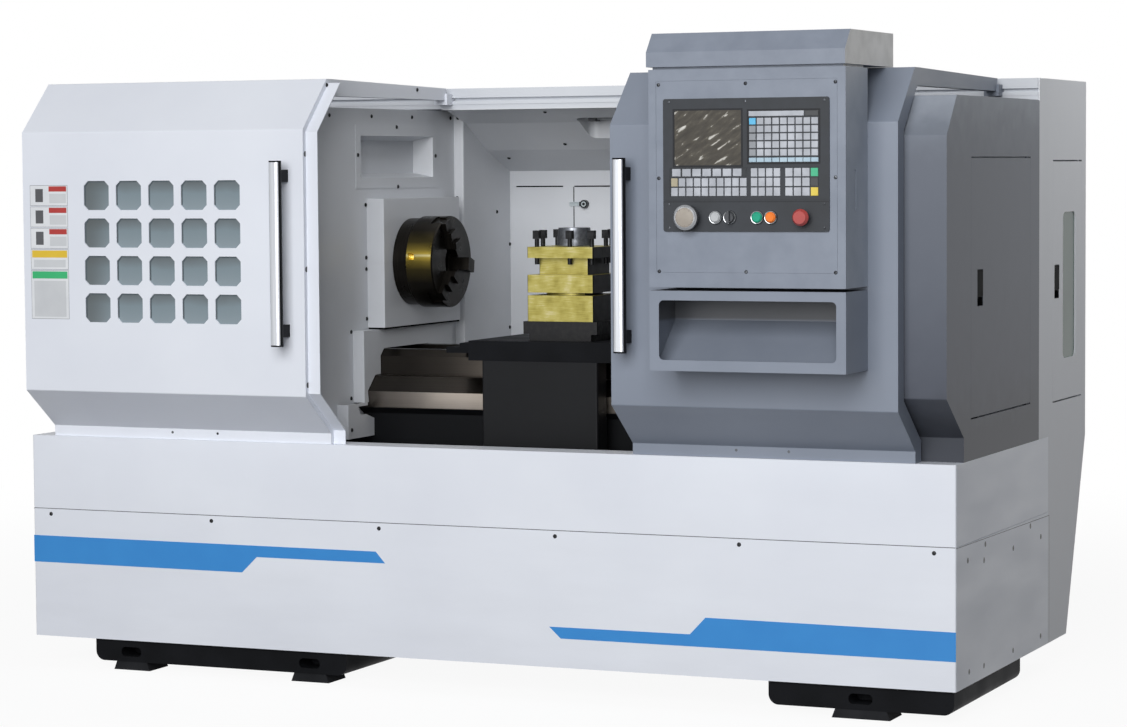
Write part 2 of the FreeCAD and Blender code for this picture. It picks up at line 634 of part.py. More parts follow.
base_skirt = union([
    folded(plan, "z", 0, SKIRT_TOP),
    shelf(SKIRT_LIP, SKIRT_LIP, SKIRT_TOP - SHEET, SKIRT_TOP),
    shelf(SKIRT_LIP, SKIRT_LIP, 0, SHEET),
])

tray_floor = block((SHEET, LENGTH - SHEET), (SHEET, SKIRT_DEPTH - SHEET), (TRAY_FLOOR - SHEET, TRAY_FLOOR))
tray_back_y = (SKIRT_DEPTH - SHEET, SKIRT_DEPTH)
tray_back = block((SHEET, LENGTH - SHEET), tray_back_y, (TRAY_FLOOR - SHEET, TRAY_TOP))
splash_tray = union([
    folded(plan, "z", SKIRT_TOP, TRAY_TOP),
    shelf(TRAY_LIP, SKIRT_LIP, TRAY_TOP - SHEET, TRAY_TOP),
    tray_floor,
    tray_back,
])
around_seam = block((-1, LENGTH + 1), (-1, SKIRT_DEPTH - SHEET - 1), (SKIRT_TOP - 1, SKIRT_TOP + SEAM))
inside_seam = block((SEAM, LENGTH - SEAM), (SEAM, SKIRT_DEPTH), (SKIRT_TOP - 2, SKIRT_TOP + SEAM + 1))
splash_tray = splash_tray.cut(around_seam.cut(inside_seam))

# ================================================================ fixed covers
def hinge_z(z):
    """Height spans of the lower and the upper lug that hold a door's hinge rod."""
    low, high = z[0] - DOOR_SLOT, z[1] + DOOR_SLOT
    return ((low - HINGE_LUG, low), (high, high + HINGE_LUG))


def side_sheet(outline, x, openings):
    """Right side wall of the enclosure with the openings and hinge lugs of its doors."""
    sheet = prism(outline, "x", *x)
    for y, z in openings:
        grown = (y[0] - DOOR_GAP, y[1] + DOOR_GAP)
        sheet = sheet.cut(slab(grown, (z[0] - DOOR_SLOT, z[1] + DOOR_SLOT), "x", x[0] - 1, x[1] + 1))
        axis = (x[0] - HINGE_PIN + HINGE_SINK, y[1] - HINGE_INSET)
        lug_x = (axis[0] - 2 * HINGE_PIN, x[0])
        lug_y = (axis[1] - 2 * HINGE_PIN, axis[1] + 2 * HINGE_PIN)
        lugs = [block(lug_x, lug_y, lug_z) for lug_z in hinge_z(z)]
        sheet = union([sheet] + lugs)
        for lug_z in hinge_z(z):
            sheet = sheet.cut(rod("z", axis, *lug_z, HINGE_PIN + BEARING_GAP))
    return sheet


def fixed_cover(x, wall_x, lip_x, openings):
    """Front cover sheet with its top lip and its side wall."""
    front = folded([(COVER_TOP_FRONT + COVER_LIP, COVER_TOP)] + cover_run(), "x", *x)
    outline = moved_left(cover_run(), SHEET / 2)
    outline += [(COVER_DEPTH, TRAY_TOP), (COVER_DEPTH, COVER_TOP - SHEET / 2)]
    wall = side_sheet(outline, wall_x, openings)
    lip = block(lip_x, (COVER_TOP_FRONT + COVER_LIP, RAIL_FRONT), (COVER_TOP - SHEET, COVER_TOP))
    return union([front, wall, lip])


left_fixed_cover = fixed_cover((0, WALL_X), (0, SHEET), (0, COVER_LIP), [])
left_fixed_cover = left_fixed_cover.cut(rod("x", (SPINDLE_Y, SPINDLE_Z), -1, SHEET + 1, BAR_HOLE))
right_fixed_cover = union([
    fixed_cover((RIGHT_COVER_FROM, LENGTH), (LENGTH - SHEET, LENGTH), (LENGTH - COVER_LIP, LENGTH),
                [(SIDE_DOOR, SIDE_DOOR_Z)]),
    edge_return(cover_run(), COVER_LIP, (RIGHT_COVER_FROM, RIGHT_COVER_FROM + SHEET)),
])

housing_side = [
    (SKIRT_DEPTH, 0),
    (HOUSING_TOE, 0),
    (HOUSING_REAR, HOUSING_KNEE),
    (HOUSING_REAR, HOUSING_TOP),
    (COVER_DEPTH, HOUSING_TOP),
    (COVER_DEPTH, TRAY_TOP),
    (SKIRT_DEPTH, TRAY_TOP),
]
rail_back = RAIL_FRONT + RAIL_DEPTH
housing_back = [
    (HOUSING_TOE, 0),
    (HOUSING_REAR, HOUSING_KNEE),
    (HOUSING_REAR, HOUSING_TOP),
    (rail_back, HOUSING_TOP),
]
inside_outline = moved_left(housing_back, SHEET / 2) + housing_side[4:] + housing_side[:1]
back_inside = prism(inside_outline, "x", 0, LENGTH)
left_side = prism(housing_side, "x", 0, SHEET).common(back_inside)
right_side = side_sheet(housing_side, (LENGTH - SHEET, LENGTH), [(REAR_DOOR, REAR_DOOR_Z)])
right_side = right_side.common(back_inside)
rear_housing = union([folded(housing_back, "x", 0, LENGTH), left_side, right_side])

# ================================================================ top rail and lamp panel
groove = (GROOVE_Z - GROOVE_HEIGHT / 2, GROOVE_Z + GROOVE_HEIGHT / 2)
rail_outline = [
    (RAIL_FRONT + RAIL_STEP, COVER_TOP),
    (rail_back, COVER_TOP),
    (rail_back, HOUSING_TOP),
    (RAIL_FRONT, HOUSING_TOP),
    (RAIL_FRONT, groove[1]),
    (RAIL_FRONT + GROOVE_DEPTH, groove[1]),
    (RAIL_FRONT + GROOVE_DEPTH, groove[0]),
    (RAIL_FRONT, groove[0]),
    (RAIL_FRONT, RAIL_STEP_Z),
    (RAIL_FRONT + RAIL_STEP, RAIL_STEP_Z),
]
top_rail = prism(rail_outline, "x", SHEET, LENGTH - SHEET)

panel_run = [(RAIL_FRONT + RAIL_STEP, LAMP_FOLDS[0][1])] + list(LAMP_FOLDS) + [(REAR_WALL, TRAY_TOP)]
lamp_panel = folded(panel_run, "x", WALL_BACK_X, LENGTH - SHEET)
lamp_panel = lamp_panel.cut(slab(LAMP_X, LAMP_Y, "z", LAMP_FOLDS[3][1], LAMP_PAN_TOP, LAMP_ROUND))
pan_x = (LAMP_X[0] - SHEET, LAMP_X[1] + SHEET)
pan_y = (LAMP_Y[0] - SHEET, LAMP_Y[1] + SHEET)
pan = slab(pan_x, pan_y, "z", LAMP_FOLDS[2][1], LAMP_PAN_TOP, LAMP_ROUND + SHEET)
pan = pan.cut(slab(LAMP_X, LAMP_Y, "z", LAMP_FOLDS[3][1], LAMP_PAN_TOP - SHEET, LAMP_ROUND))
above_panel = [(RAIL_FRONT, LAMP_PAN_TOP + 1)]
above_panel += moved_left(panel_run, SHEET / 2)[1:4]
above_panel += [(REAR_WALL, LAMP_PAN_TOP + 1)]
lamp_panel = union([lamp_panel, pan.common(prism(above_panel, "x", *pan_x))])
hinge_line = REAR_DOOR[1] - HINGE_INSET
swing = HINGE_INSET + 2 * HINGE_PIN
lamp_panel = lamp_panel.cut(block(
    (LENGTH - SHEET - swing, LENGTH), (hinge_line - 2 * HINGE_PIN, hinge_line + swing),
    (LAMP_FOLDS[3][1] - 4 * SHEET, REAR_DOOR_Z[1] + DOOR_SLOT)))
door_hole = (ACCESS_DOOR[0] - DOOR_GAP, ACCESS_DOOR[1] + DOOR_GAP)
door_hole_z = (ACCESS_DOOR_Z[0] - DOOR_SLOT, ACCESS_DOOR_Z[1] + DOOR_SLOT)
slot_z = (ACCESS_DOOR_Z[1], ACCESS_DOOR_Z[1] + DOOR_SLOT)
for hole_x, hole_z in ((door_hole, door_hole_z), (ACCESS_SLOT, slot_z)):
    lamp_panel = lamp_panel.cut(slab(hole_x, hole_z, "y", REAR_WALL - 1, REAR_WALL + SHEET + 1))
access_axis = (ACCESS_DOOR[1] - HINGE_INSET_REAR, REAR_WALL + SHEET + HINGE_PIN_REAR - HINGE_SINK)
lug_x = (access_axis[0] - 2 * HINGE_PIN_REAR, access_axis[0] + 2 * HINGE_PIN_REAR)
lug_y = (REAR_WALL + SHEET, access_axis[1] + 2 * HINGE_PIN_REAR)
lamp_panel = union([lamp_panel] + [block(lug_x, lug_y, lug_z) for lug_z in hinge_z(ACCESS_DOOR_Z)])
for lug_z in hinge_z(ACCESS_DOOR_Z):
    lamp_panel = lamp_panel.cut(rod("z", access_axis, *lug_z, HINGE_PIN_REAR + BEARING_GAP))

lamp_y = (LAMP_Y[0] + LAMP_Y[1]) / 2
pan_roof = LAMP_PAN_TOP - SHEET
lamp_span = (LAMP_X[0] + LAMP_INSET, LAMP_X[1] - LAMP_INSET)
lamp_z = pan_roof - LAMP_DROP
tube_y = (lamp_y - LAMP_TUBE - 5, lamp_y + LAMP_TUBE + 5)
bracket_z = (lamp_z - LAMP_TUBE - 5, pan_roof)
work_lamp = union([
    slab(lamp_span, (tube_y[0] - 6, tube_y[1] + 6), "z", pan_roof - 2 * SHEET, pan_roof, 4),
    rod("x", (lamp_y, lamp_z), lamp_span[0] + LAMP_BRACKET / 2, lamp_span[1] - LAMP_BRACKET / 2, LAMP_TUBE),
    block((lamp_span[0], lamp_span[0] + LAMP_BRACKET), tube_y, bracket_z),
    block((lamp_span[1] - LAMP_BRACKET, lamp_span[1]), tube_y, bracket_z),
])

# ================================================================ headstock side wall
wall_plan = [
    (WALL_X, COVER_FRONT),
    (WALL_X, WALL_STEP_Y),
    (WALL_BACK_X, WALL_STEP_Y),
    (WALL_BACK_X, REAR_WALL),
]
behind_cover = [(COVER_TOP_FRONT + COVER_LIP, COVER_TOP)] + cover_run()
behind_cover = moved_left(behind_cover, SHEET + COVER_FIT)
behind_cover += [(REAR_WALL, TRAY_TOP), (REAR_WALL, COVER_TOP - SHEET)]
headstock_wall = folded(wall_plan, "z", TRAY_TOP, COVER_TOP - SHEET)
headstock_wall = headstock_wall.common(prism(behind_cover, "x", 0, LENGTH))
back_of_wall = (WALL_X - SHEET - 1, WALL_X + 1)
headstock_wall = headstock_wall.cut(prism(bed_outline(GUARD_BED_GAP, TRAY_TOP - 1), "x", *back_of_wall))
machine_hole = ((COVER_BOX_Y[0] + 12, COVER_BOX_Y[1] - 14), (BED_TOP - 20, COVER_BOX_Z[1] - 12))
headstock_wall = headstock_wall.cut(slab(*machine_hole, "x", *back_of_wall))
recess_y = (RECESS_Y[0] + RECESS_BORDER, RECESS_Y[1] - RECESS_BORDER)
recess_z = (RECESS_Z[0] + RECESS_BORDER, RECESS_Z[1] - RECESS_BORDER)
around_y = (recess_y[0] - 2 * SHEET, recess_y[1] + 2 * SHEET)
around_z = (recess_z[0] - 2 * SHEET, recess_z[1] + 2 * SHEET)
headstock_wall = headstock_wall.cut(slab(around_y, around_z, "x", *back_of_wall))


def tapered_box(grow, x_front, x_back):
    """Four-sided taper between the recess mouth and its smaller back."""
    front = rectangle((recess_y[0] - grow, recess_y[1] + grow), (recess_z[0] - grow, recess_z[1] + grow))
    small = RECESS_TAPER - grow
    back = rectangle((recess_y[0] + small, recess_y[1] - small), (recess_z[0] + small, recess_z[1] - small))
    return Part.makeLoft([closed_wire(front, "x", x_front), closed_wire(back, "x", x_back)], True, True)


viewing_flange = slab(RECESS_Y, RECESS_Z, "x", WALL_X, WALL_X + RECESS_FLANGE, 3)
viewing_shell = tapered_box(SHEET, WALL_X, WALL_X - RECESS_DEPTH)
viewing_box = union([viewing_flange, viewing_shell])
viewing_box = viewing_box.cut(tapered_box(0, WALL_X + RECESS_FLANGE, WALL_X - RECESS_DEPTH + SHEET))

cover_inner_y = (COVER_BOX_Y[0] + SHEET, COVER_BOX_Y[1] - SHEET)
cover_inner_z = (COVER_BOX_Z[0] + SHEET, COVER_BOX_Z[1] - SHEET)
headstock_cover = block((WALL_X, COVER_BOX_X), COVER_BOX_Y, COVER_BOX_Z)
cover_inner_x = (WALL_X - 1, COVER_BOX_X - SHEET)
headstock_cover = headstock_cover.cut(block(cover_inner_x, cover_inner_y, cover_inner_z))
headstock_cover = headstock_cover.cut(rod("x", (SPINDLE_Y, SPINDLE_Z), WALL_X, COVER_BOX_X + 1, NOSE_HOLE))
split_z = (SPINDLE_Z - COVER_SPLIT / 2, SPINDLE_Z + COVER_SPLIT / 2)
split_ring = block((WALL_X - 1, COVER_BOX_X + 1), (COVER_BOX_Y[0] - 1, COVER_BOX_Y[1] + 1), split_z)
core_x = (WALL_X - 2, COVER_BOX_X - SHEET / 2)
core_y = (COVER_BOX_Y[0] + SHEET / 2, COVER_BOX_Y[1] - SHEET / 2)
split_core = block(core_x, core_y, split_z)
headstock_cover = headstock_cover.cut(split_ring.cut(split_core))

guard_y = (GUARD_FRONT, GUARD_REAR)
guard_box = block((WALL_X, GUARD_X), guard_y, GUARD_Z)
guard_box = guard_box.cut(block(
    (WALL_X - 1, GUARD_X - SHEET),
    (GUARD_FRONT + SHEET, GUARD_REAR - SHEET),
    (GUARD_Z[0] - 1, GUARD_Z[1] - SHEET),
))
bed_wall_half = BED_SIDE[-1][0] + GUARD_BED_GAP
low_sheet = [
    (GUARD_LOW_FRONT, TRAY_TOP),
    (SPINDLE_Y - bed_wall_half, TRAY_TOP),
    (SPINDLE_Y - bed_wall_half, BED_SIDE[-1][1] - 14),
    (GUARD_FRONT + 8, BED_SIDE[-1][1]),
    (GUARD_FRONT - 26, BED_SIDE[-1][1]),
    (GUARD_FRONT - 36, GUARD_Z[0] - 8),
    (GUARD_FRONT + 18, GUARD_Z[0] - 8),
    (GUARD_FRONT + 18, GUARD_Z[0]),
    (GUARD_LOW_FRONT, GUARD_Z[0]),
]
far_sheet = [(2 * SPINDLE_Y - y, z) for y, z in reversed(low_sheet)]
way_guard = union([
    guard_box,
    prism(low_sheet, "x", GUARD_X - SHEET, GUARD_X),
    prism(far_sheet, "x", GUARD_X - SHEET, GUARD_X),
    block((WALL_X, GUARD_X), (GUARD_LOW_FRONT, GUARD_LOW_FRONT + SHEET), (TRAY_TOP, GUARD_Z[0])),
])
way_guard = way_guard.cut(prism(bed_outline(GUARD_BED_GAP, TRAY_TOP - 1), "x", WALL_X - 1, GUARD_X + 1))

# ================================================================ bed
bed = prism(bed_outline(0, TRAY_FLOOR), "x", *BED_X)
channel_y = (SPINDLE_Y - BED_CHANNEL_HALF, SPINDLE_Y + BED_CHANNEL_HALF)
channel = block(BED_X, channel_y, (BED_SIDE[-1][1], BED_TOP + 1))
cavity_half = BED_SIDE[-1][0] - BED_WALL
cavity = block(BED_X, (SPINDLE_Y - cavity_half, SPINDLE_Y + cavity_half), (TRAY_FLOOR - 1, BED_SIDE[-1][1]))
void = channel.fuse(cavity)
rib_step = (BED_X[1] - BED_X[0] - RIB) / (RIB_COUNT + 1)
rib_y = (SPINDLE_Y - BED_SIDE[-1][0], SPINDLE_Y + BED_SIDE[-1][0])
for rib_index in range(RIB_COUNT + 2):
    rib_x = BED_X[0] + rib_index * rib_step
    void = void.cut(block((rib_x, rib_x + RIB), rib_y, (TRAY_FLOOR - 2, RIB_TOP)))
bed = bed.cut(void)
arch_x = (LEFT_FOOT[1] - PEDESTAL_INSET, RIGHT_FOOT[0] + PEDESTAL_INSET)
arch_points = rectangle(arch_x, (TRAY_FLOOR - 1, BED_ARCH))
bed = bed.cut(prism(arch_points, "y", rib_y[0] - 1, rib_y[1] + 1, [0, 0, BED_ARCH_ROUND, BED_ARCH_ROUND]))
block_y = (SPINDLE_Y - BED_CHANNEL_HALF, SPINDLE_Y + BED_CHANNEL_HALF)
block_z = (SCREW_Z - 90, SADDLE_LOW)
screw_blocks = [
    block((SCREW_X[0], SCREW_X[0] + SCREW_BLOCK), block_y, block_z),
    block((SCREW_X[1] - SCREW_BLOCK, SCREW_X[1]), block_y, block_z),
]
bed = union([bed] + screw_blocks)
bed = bed.cut(rod("x", (SCREW_Y, SCREW_Z), SCREW_X[0] - 1, SCREW_X[1] + 1, SCREW_JOURNAL + SCREW_GAP))
thread = (SCREW_X[0] + SCREW_BLOCK + 0.5, SCREW_X[1] - SCREW_BLOCK - 0.5)
carriage_screw = turned([
    (SCREW_X[0] - 8, 0),
    (SCREW_X[0] - 8, SCREW_JOURNAL),
    (thread[0], SCREW_JOURNAL),
    (thread[0], SCREW_RADIUS),
    (thread[1], SCREW_RADIUS),
    (thread[1], SCREW_JOURNAL),
    (SCREW_X[1] + SCREW_TAIL, SCREW_JOURNAL),
    (SCREW_X[1] + SCREW_TAIL, 0),
], "x", (SCREW_Y, SCREW_Z))


def square_about(centre, half):
    """Two spans of a square about a flat point."""
    return (centre[0] - half, centre[0] + half), (centre[1] - half, centre[1] + half)


screw_point = (SCREW_Y, SCREW_Z)
servo_face = BED_X[1] + SERVO_FLANGE[1]
servo_end = servo_face + SERVO_BODY[1]
carriage_servo = union([
    slab(*square_about(screw_point, SERVO_FLANGE[0]), "x", BED_X[1], servo_face, SERVO_ROUND),
    slab(*square_about(screw_point, SERVO_BODY[0]), "x", servo_face, servo_end, SERVO_ROUND),
])
servo_bore = rod("x", screw_point, BED_X[1] - 1, SCREW_X[1] + SCREW_TAIL + 2, SCREW_JOURNAL + SCREW_GAP)
carriage_servo = carriage_servo.cut(servo_bore)

# ================================================================ headstock
head_y = (SPINDLE_Y - HEAD_HALF, SPINDLE_Y + HEAD_HALF)
headstock_housing = slab(head_y, (BED_TOP, HEAD_TOP), "x", *HEAD_X, HEAD_ROUND)
hollow_y = (head_y[0] + HEAD_WALL, head_y[1] - HEAD_WALL)
hollow_z = (BED_TOP + HEAD_WALL, HEAD_TOP - HEAD_WALL)
headstock_housing = headstock_housing.cut(
    slab(hollow_y, hollow_z, "x", HEAD_X[0] + HEAD_WALL, HEAD_X[1] - HEAD_WALL, HEAD_ROUND))
axis_point = (SPINDLE_Y, SPINDLE_Z)
bearing_spans = (
    (HEAD_X[0], HEAD_X[0] + BEARING_LENGTH),
    (HEAD_X[1] - BEARING_LENGTH, HEAD_X[1]),
)
bosses = [rod("x", axis_point, *span, BEARING_BOSS) for span in bearing_spans]
headstock_housing = union([headstock_housing] + bosses)
headstock_housing = headstock_housing.cut(rod("x", axis_point, HEAD_X[0] - 1, HEAD_X[1] + 1, BEARING_OUT))
bearings = []
for span in bearing_spans:
    ring = rod("x", axis_point, *span, BEARING_OUT)
    bearings.append(ring.cut(rod("x", axis_point, span[0] - 1, span[1] + 1, SPINDLE_RADIUS + BEARING_GAP)))


def pulley_profile(radius):
    """Rim outline of a flanged belt pulley, from left to right."""
    left, right = PULLEY_X, PULLEY_X + PULLEY_WIDTH
    rim = radius + PULLEY_FLANGE
    return [
        (left, rim),
        (left + PULLEY_FLANGE, rim),
        (left + PULLEY_FLANGE, radius),
        (right - PULLEY_FLANGE, radius),
        (right - PULLEY_FLANGE, rim),
        (right, rim),
    ]


spindle = turned(
    [(PULLEY_X - 16, SPINDLE_BORE), (PULLEY_X - 16, SPINDLE_RADIUS), (PULLEY_X, SPINDLE_RADIUS)]
    + pulley_profile(PULLEY_RADIUS)
    + [
        (PULLEY_X + PULLEY_WIDTH, SPINDLE_RADIUS),
        (CHUCK_X[0] - NOSE_LENGTH, SPINDLE_RADIUS),
        (CHUCK_X[0] - NOSE_LENGTH, NOSE_RADIUS),
        (CHUCK_X[0], NOSE_RADIUS),
        (CHUCK_X[0], SPINDLE_BORE),
    ], "x", axis_point)

flange_x = LEFT_FOOT[0] + PEDESTAL_INSET - MOTOR_FLANGE
motor_point = (MOTOR_Y, MOTOR_Z)
main_motor = union([
    slab(*square_about(motor_point, MOTOR_FLANGE_HALF), "x", flange_x, flange_x + MOTOR_FLANGE, HEAD_ROUND),
    rod("x", motor_point, flange_x + MOTOR_FLANGE, flange_x + MOTOR_LENGTH, MOTOR_RADIUS),
])
shaft_seat = rod("x", motor_point, flange_x - 1, flange_x + MOTOR_SEAT + 1, MOTOR_SHAFT + BEARING_GAP)
main_motor = main_motor.cut(shaft_seat)
motor_pulley = turned(
    [(PULLEY_X, 0)]
    + pulley_profile(MOTOR_PULLEY_RADIUS)
    + [
        (PULLEY_X + PULLEY_WIDTH, MOTOR_SHAFT),
        (flange_x + MOTOR_SEAT, MOTOR_SHAFT),
        (flange_x + MOTOR_SEAT, 0),
    ], "x", motor_point)

# ================================================================ chuck
def spun(shape, angle):
    """Copy of a shape turned about the spindle axis."""
    copy = shape.copy()
    copy.rotate(Vector(0, SPINDLE_Y, SPINDLE_Z), AXES["x"], angle)
    return copy


def jaw_slot(gap):
    """Guide slot of a jaw along +Z, or the jaw's own foot when the gap is nought."""
    half = JAW_WIDTH / 2 + gap
    foot = JAW_FOOT / 2 + gap
    base = CHUCK_X[1] - JAW_SLOT_DEPTH - gap
    step = CHUCK_X[1] - JAW_SLOT_DEPTH + JAW_FOOT_DEPTH + gap
    return [(base, -foot), (step, -foot), (step, -half), (CHUCK_X[1], -half),
            (CHUCK_X[1], half), (step, half), (step, foot), (base, foot)]


def radial(points, low, high):
    """Outline in the plane of X and the cross direction, pulled away from the spindle axis."""
    flat = [(x, SPINDLE_Y + side) for x, side in points]
    return prism(flat, "z", SPINDLE_Z + low, SPINDLE_Z + high)


chuck_body = turned([
    (CHUCK_X[0], SPINDLE_BORE),
    (CHUCK_X[0], CHUCK_PLATE_RADIUS),
    (CHUCK_X[0] + CHUCK_PLATE, CHUCK_PLATE_RADIUS),
    (CHUCK_X[0] + CHUCK_PLATE, CHUCK_RADIUS - CHUCK_SOFT_EDGE),
    (CHUCK_X[0] + CHUCK_PLATE + CHUCK_SOFT_EDGE, CHUCK_RADIUS),
    (CHUCK_X[1] - CHUCK_SOFT_EDGE, CHUCK_RADIUS),
    (CHUCK_X[1], CHUCK_RADIUS - CHUCK_SOFT_EDGE),
    (CHUCK_X[1], SPINDLE_BORE),
], "x", axis_point)
jaw_inner = JAW_STEPS[0][0]
jaw_outer = JAW_STEPS[-1][1]
slot = radial(jaw_slot(JAW_GAP), 0, CHUCK_RADIUS + 5)
key_x = (CHUCK_X[0] + CHUCK_PLATE + 8, CHUCK_X[0] + CHUCK_PLATE + 8 + 2 * KEY_HOLE)
key = block(key_x, (SPINDLE_Y - KEY_HOLE, SPINDLE_Y + KEY_HOLE),
            (SPINDLE_Z + CHUCK_RADIUS - KEY_DEPTH, SPINDLE_Z + CHUCK_RADIUS + 5))
jaws = []
for angle in JAW_ANGLES:
    chuck_body = chuck_body.cut(spun(slot, angle)).cut(spun(key, angle + 60))
    parts = [radial(jaw_slot(0), jaw_inner, jaw_outer)]
    for low, high, height in JAW_STEPS:
        parts.append(block((CHUCK_X[1] - 1, CHUCK_X[1] + height),
                           (SPINDLE_Y - JAW_WIDTH / 2, SPINDLE_Y + JAW_WIDTH / 2),
                           (SPINDLE_Z + low, SPINDLE_Z + high)))
    jaws.append(spun(union(parts), angle))

# ================================================================ carriage
saddle = block(SADDLE_X, SADDLE_Y, (SADDLE_LOW, SADDLE_TOP))
wiper_x = SADDLE_X[0]
for wiper_length, wiper_drop in WIPERS:
    saddle = saddle.fuse(block(
        (wiper_x - wiper_length, wiper_x), WIPER_Y, (BED_TOP + 2 * SLIDE_GAP, SADDLE_TOP - wiper_drop)))
    wiper_x -= wiper_length
nut = rod("x", (SCREW_Y, SCREW_Z), TURRET_X - NUT_LENGTH / 2, TURRET_X + NUT_LENGTH / 2, NUT_RADIUS)
saddle = saddle.cut(prism(bed_outline(SLIDE_GAP, SADDLE_LOW - 60), "x", wiper_x - 1, SADDLE_X[1] + 1))
nut_neck = block(
    (TURRET_X - NUT_LENGTH / 2, TURRET_X + NUT_LENGTH / 2),
    (SCREW_Y - NUT_RADIUS, SCREW_Y + NUT_RADIUS),
    (SCREW_Z, SADDLE_TOP - 6))
nut = nut.fuse(nut_neck).cut(rod("x", (SCREW_Y, SCREW_Z), *SADDLE_X, SCREW_RADIUS + SCREW_GAP))
saddle = union([saddle, nut])
rib_slot = (TURRET_X - CROSS_RIB_HALF - SLIDE_GAP, TURRET_X + CROSS_RIB_HALF + SLIDE_GAP)
rib_slot_y = (CROSS_Y[0] - 3, SADDLE_Y[1] + 1)
saddle = saddle.cut(block(rib_slot, rib_slot_y, (CROSS_RIB_Z - SLIDE_GAP, SADDLE_TOP + 1)))

apron_run = [
    (APRON_X[0], APRON_REAR),
    (APRON_X[0], APRON_FRONT),
    (APRON_X[1], APRON_FRONT),
    (APRON_X[1], APRON_REAR),
]
apron_lid_x = (APRON_X[0] + SHEET, APRON_X[1] - SHEET)
apron_cover = union([
    folded(apron_run, "z", APRON_LOW, SADDLE_LOW),
    block(apron_lid_x, (APRON_FRONT + SHEET, APRON_REAR), (SADDLE_LOW - SHEET, SADDLE_LOW)),
])

cross_low = SADDLE_TOP + SLIDE_GAP
cross_slide = union([
    slab((TURRET_X - CROSS_HALF, TURRET_X + CROSS_HALF), CROSS_Y, "z", CROSS_NECK_Z, CROSS_TOP, TURRET_CHAMFER),
    block((TURRET_X - CROSS_NECK, TURRET_X + CROSS_NECK), CROSS_Y, (cross_low, CROSS_NECK_Z)),
    block((TURRET_X - CROSS_RIB_HALF, TURRET_X + CROSS_RIB_HALF), CROSS_Y, (CROSS_RIB_Z, cross_low)),
])


def turret_plate(size, low, high):
    """Square block of the turret about its axis, with bevelled corners."""
    half = size / 2
    cut = TURRET_CHAMFER
    corners = []
    for sx, sy in ((-1, -1), (1, -1), (1, 1), (-1, 1)):
        first = (TURRET_X + sx * half, TURRET_Y + sy * (half - cut))
        second = (TURRET_X + sx * (half - cut), TURRET_Y + sy * half)
        corners += [first, second] if sx * sy > 0 else [second, first]
    return prism(corners, "z", low, high)


turret_axis = (TURRET_X, TURRET_Y)
turret_base = union([
    turret_plate(TURRET_SIZE, CROSS_TOP, TURRET_BASE_Z),
    rod("z", turret_axis, TURRET_BASE_Z, HEAD_LOW_Z[0] - SLIDE_GAP, TURRET_BOSS),
    rod("z", turret_axis, TURRET_BASE_Z, CAP_Z[0], SHAFT_RADIUS),
])
turret_head = union([
    turret_plate(TURRET_SIZE, *HEAD_LOW_Z),
    turret_plate(NECK_SIZE, HEAD_LOW_Z[1], HEAD_TOP_Z[0]),
    turret_plate(TURRET_SIZE, *HEAD_TOP_Z),
])
shaft_hole = rod("z", turret_axis, HEAD_LOW_Z[0] - 1, HEAD_TOP_Z[1] + 1, SHAFT_RADIUS + SHAFT_GAP)
turret_head = turret_head.cut(shaft_hole)
turret_cap = turned([
    (CAP_Z[0], 0),
    (CAP_Z[0], CAP_RADIUS[0]),
    (CAP_Z[1], CAP_RADIUS[1]),
    (CAP_Z[1], 0),
], "z", turret_axis)


def clamp_bolt(x, y):
    """Square-head clamping bolt through the turret's top plate."""
    head_low = BOLT_TOP - BOLT_HEAD_HEIGHT
    head = slab(*square_about((x, y), BOLT_HEAD / 2), "z", head_low, BOLT_TOP)
    return union([head, rod("z", (x, y), BOLT_TIP, head_low, BOLT_SHANK)])


bolts = []
for side in range(4):
    for offset in BOLT_OFFSETS:
        turn = math.radians(90 * side)
        out = -(TURRET_SIZE / 2 - BOLT_INSET)
        bolt_x = TURRET_X + offset * math.cos(turn) - out * math.sin(turn)
        bolt_y = TURRET_Y + offset * math.sin(turn) + out * math.cos(turn)
        bolts.append(clamp_bolt(bolt_x, bolt_y))
        turret_head = turret_head.cut(rod("z", (bolt_x, bolt_y), *HEAD_TOP_Z, BOLT_SHANK))

# ================================================================ tailstock
tail_base_y = (SPINDLE_Y - TAIL_BASE_HALF, SPINDLE_Y + TAIL_BASE_HALF)
tail_base = block(TAIL_X, tail_base_y, (BED_TOP + SLIDE_GAP, TAIL_BASE_TOP))
tailstock_body = union([
    tail_base,
    prism([
        (SPINDLE_Y - TAIL_BARREL, TAIL_BASE_TOP - 1),
        (SPINDLE_Y + TAIL_BARREL, TAIL_BASE_TOP - 1),
        (SPINDLE_Y + TAIL_WEB_HALF, SPINDLE_Z),
        (SPINDLE_Y - TAIL_WEB_HALF, SPINDLE_Z),
    ], "x", TAIL_X[0] + TAIL_WEB_INSET, TAIL_X[1] - TAIL_WEB_INSET),
    rod("x", axis_point, *TAIL_X, TAIL_BARREL),
])
quill_end = TAIL_X[1] - QUILL_BACK
tailstock_body = tailstock_body.cut(rod("x", axis_point, TAIL_X[0] - 1, quill_end, QUILL_RADIUS + QUILL_GAP))
tailstock_body = tailstock_body.cut(rod("x", axis_point, quill_end - 1, TAIL_X[1] + 1, WHEEL_SHAFT + QUILL_GAP))
quill_nose = TAIL_X[0] - QUILL_OUT
tailstock_quill = turned([
    (quill_nose - CENTRE_LENGTH, 0),
    (quill_nose - CENTRE_RADIUS, CENTRE_RADIUS),
    (quill_nose, CENTRE_RADIUS),
    (quill_nose, QUILL_RADIUS - 2),
    (quill_nose + 2, QUILL_RADIUS),
    (quill_end - QUILL_BEHIND, QUILL_RADIUS),
    (quill_end - QUILL_BEHIND, 0),
], "x", axis_point)
wheel_x = TAIL_X[1] + WHEEL_OFF
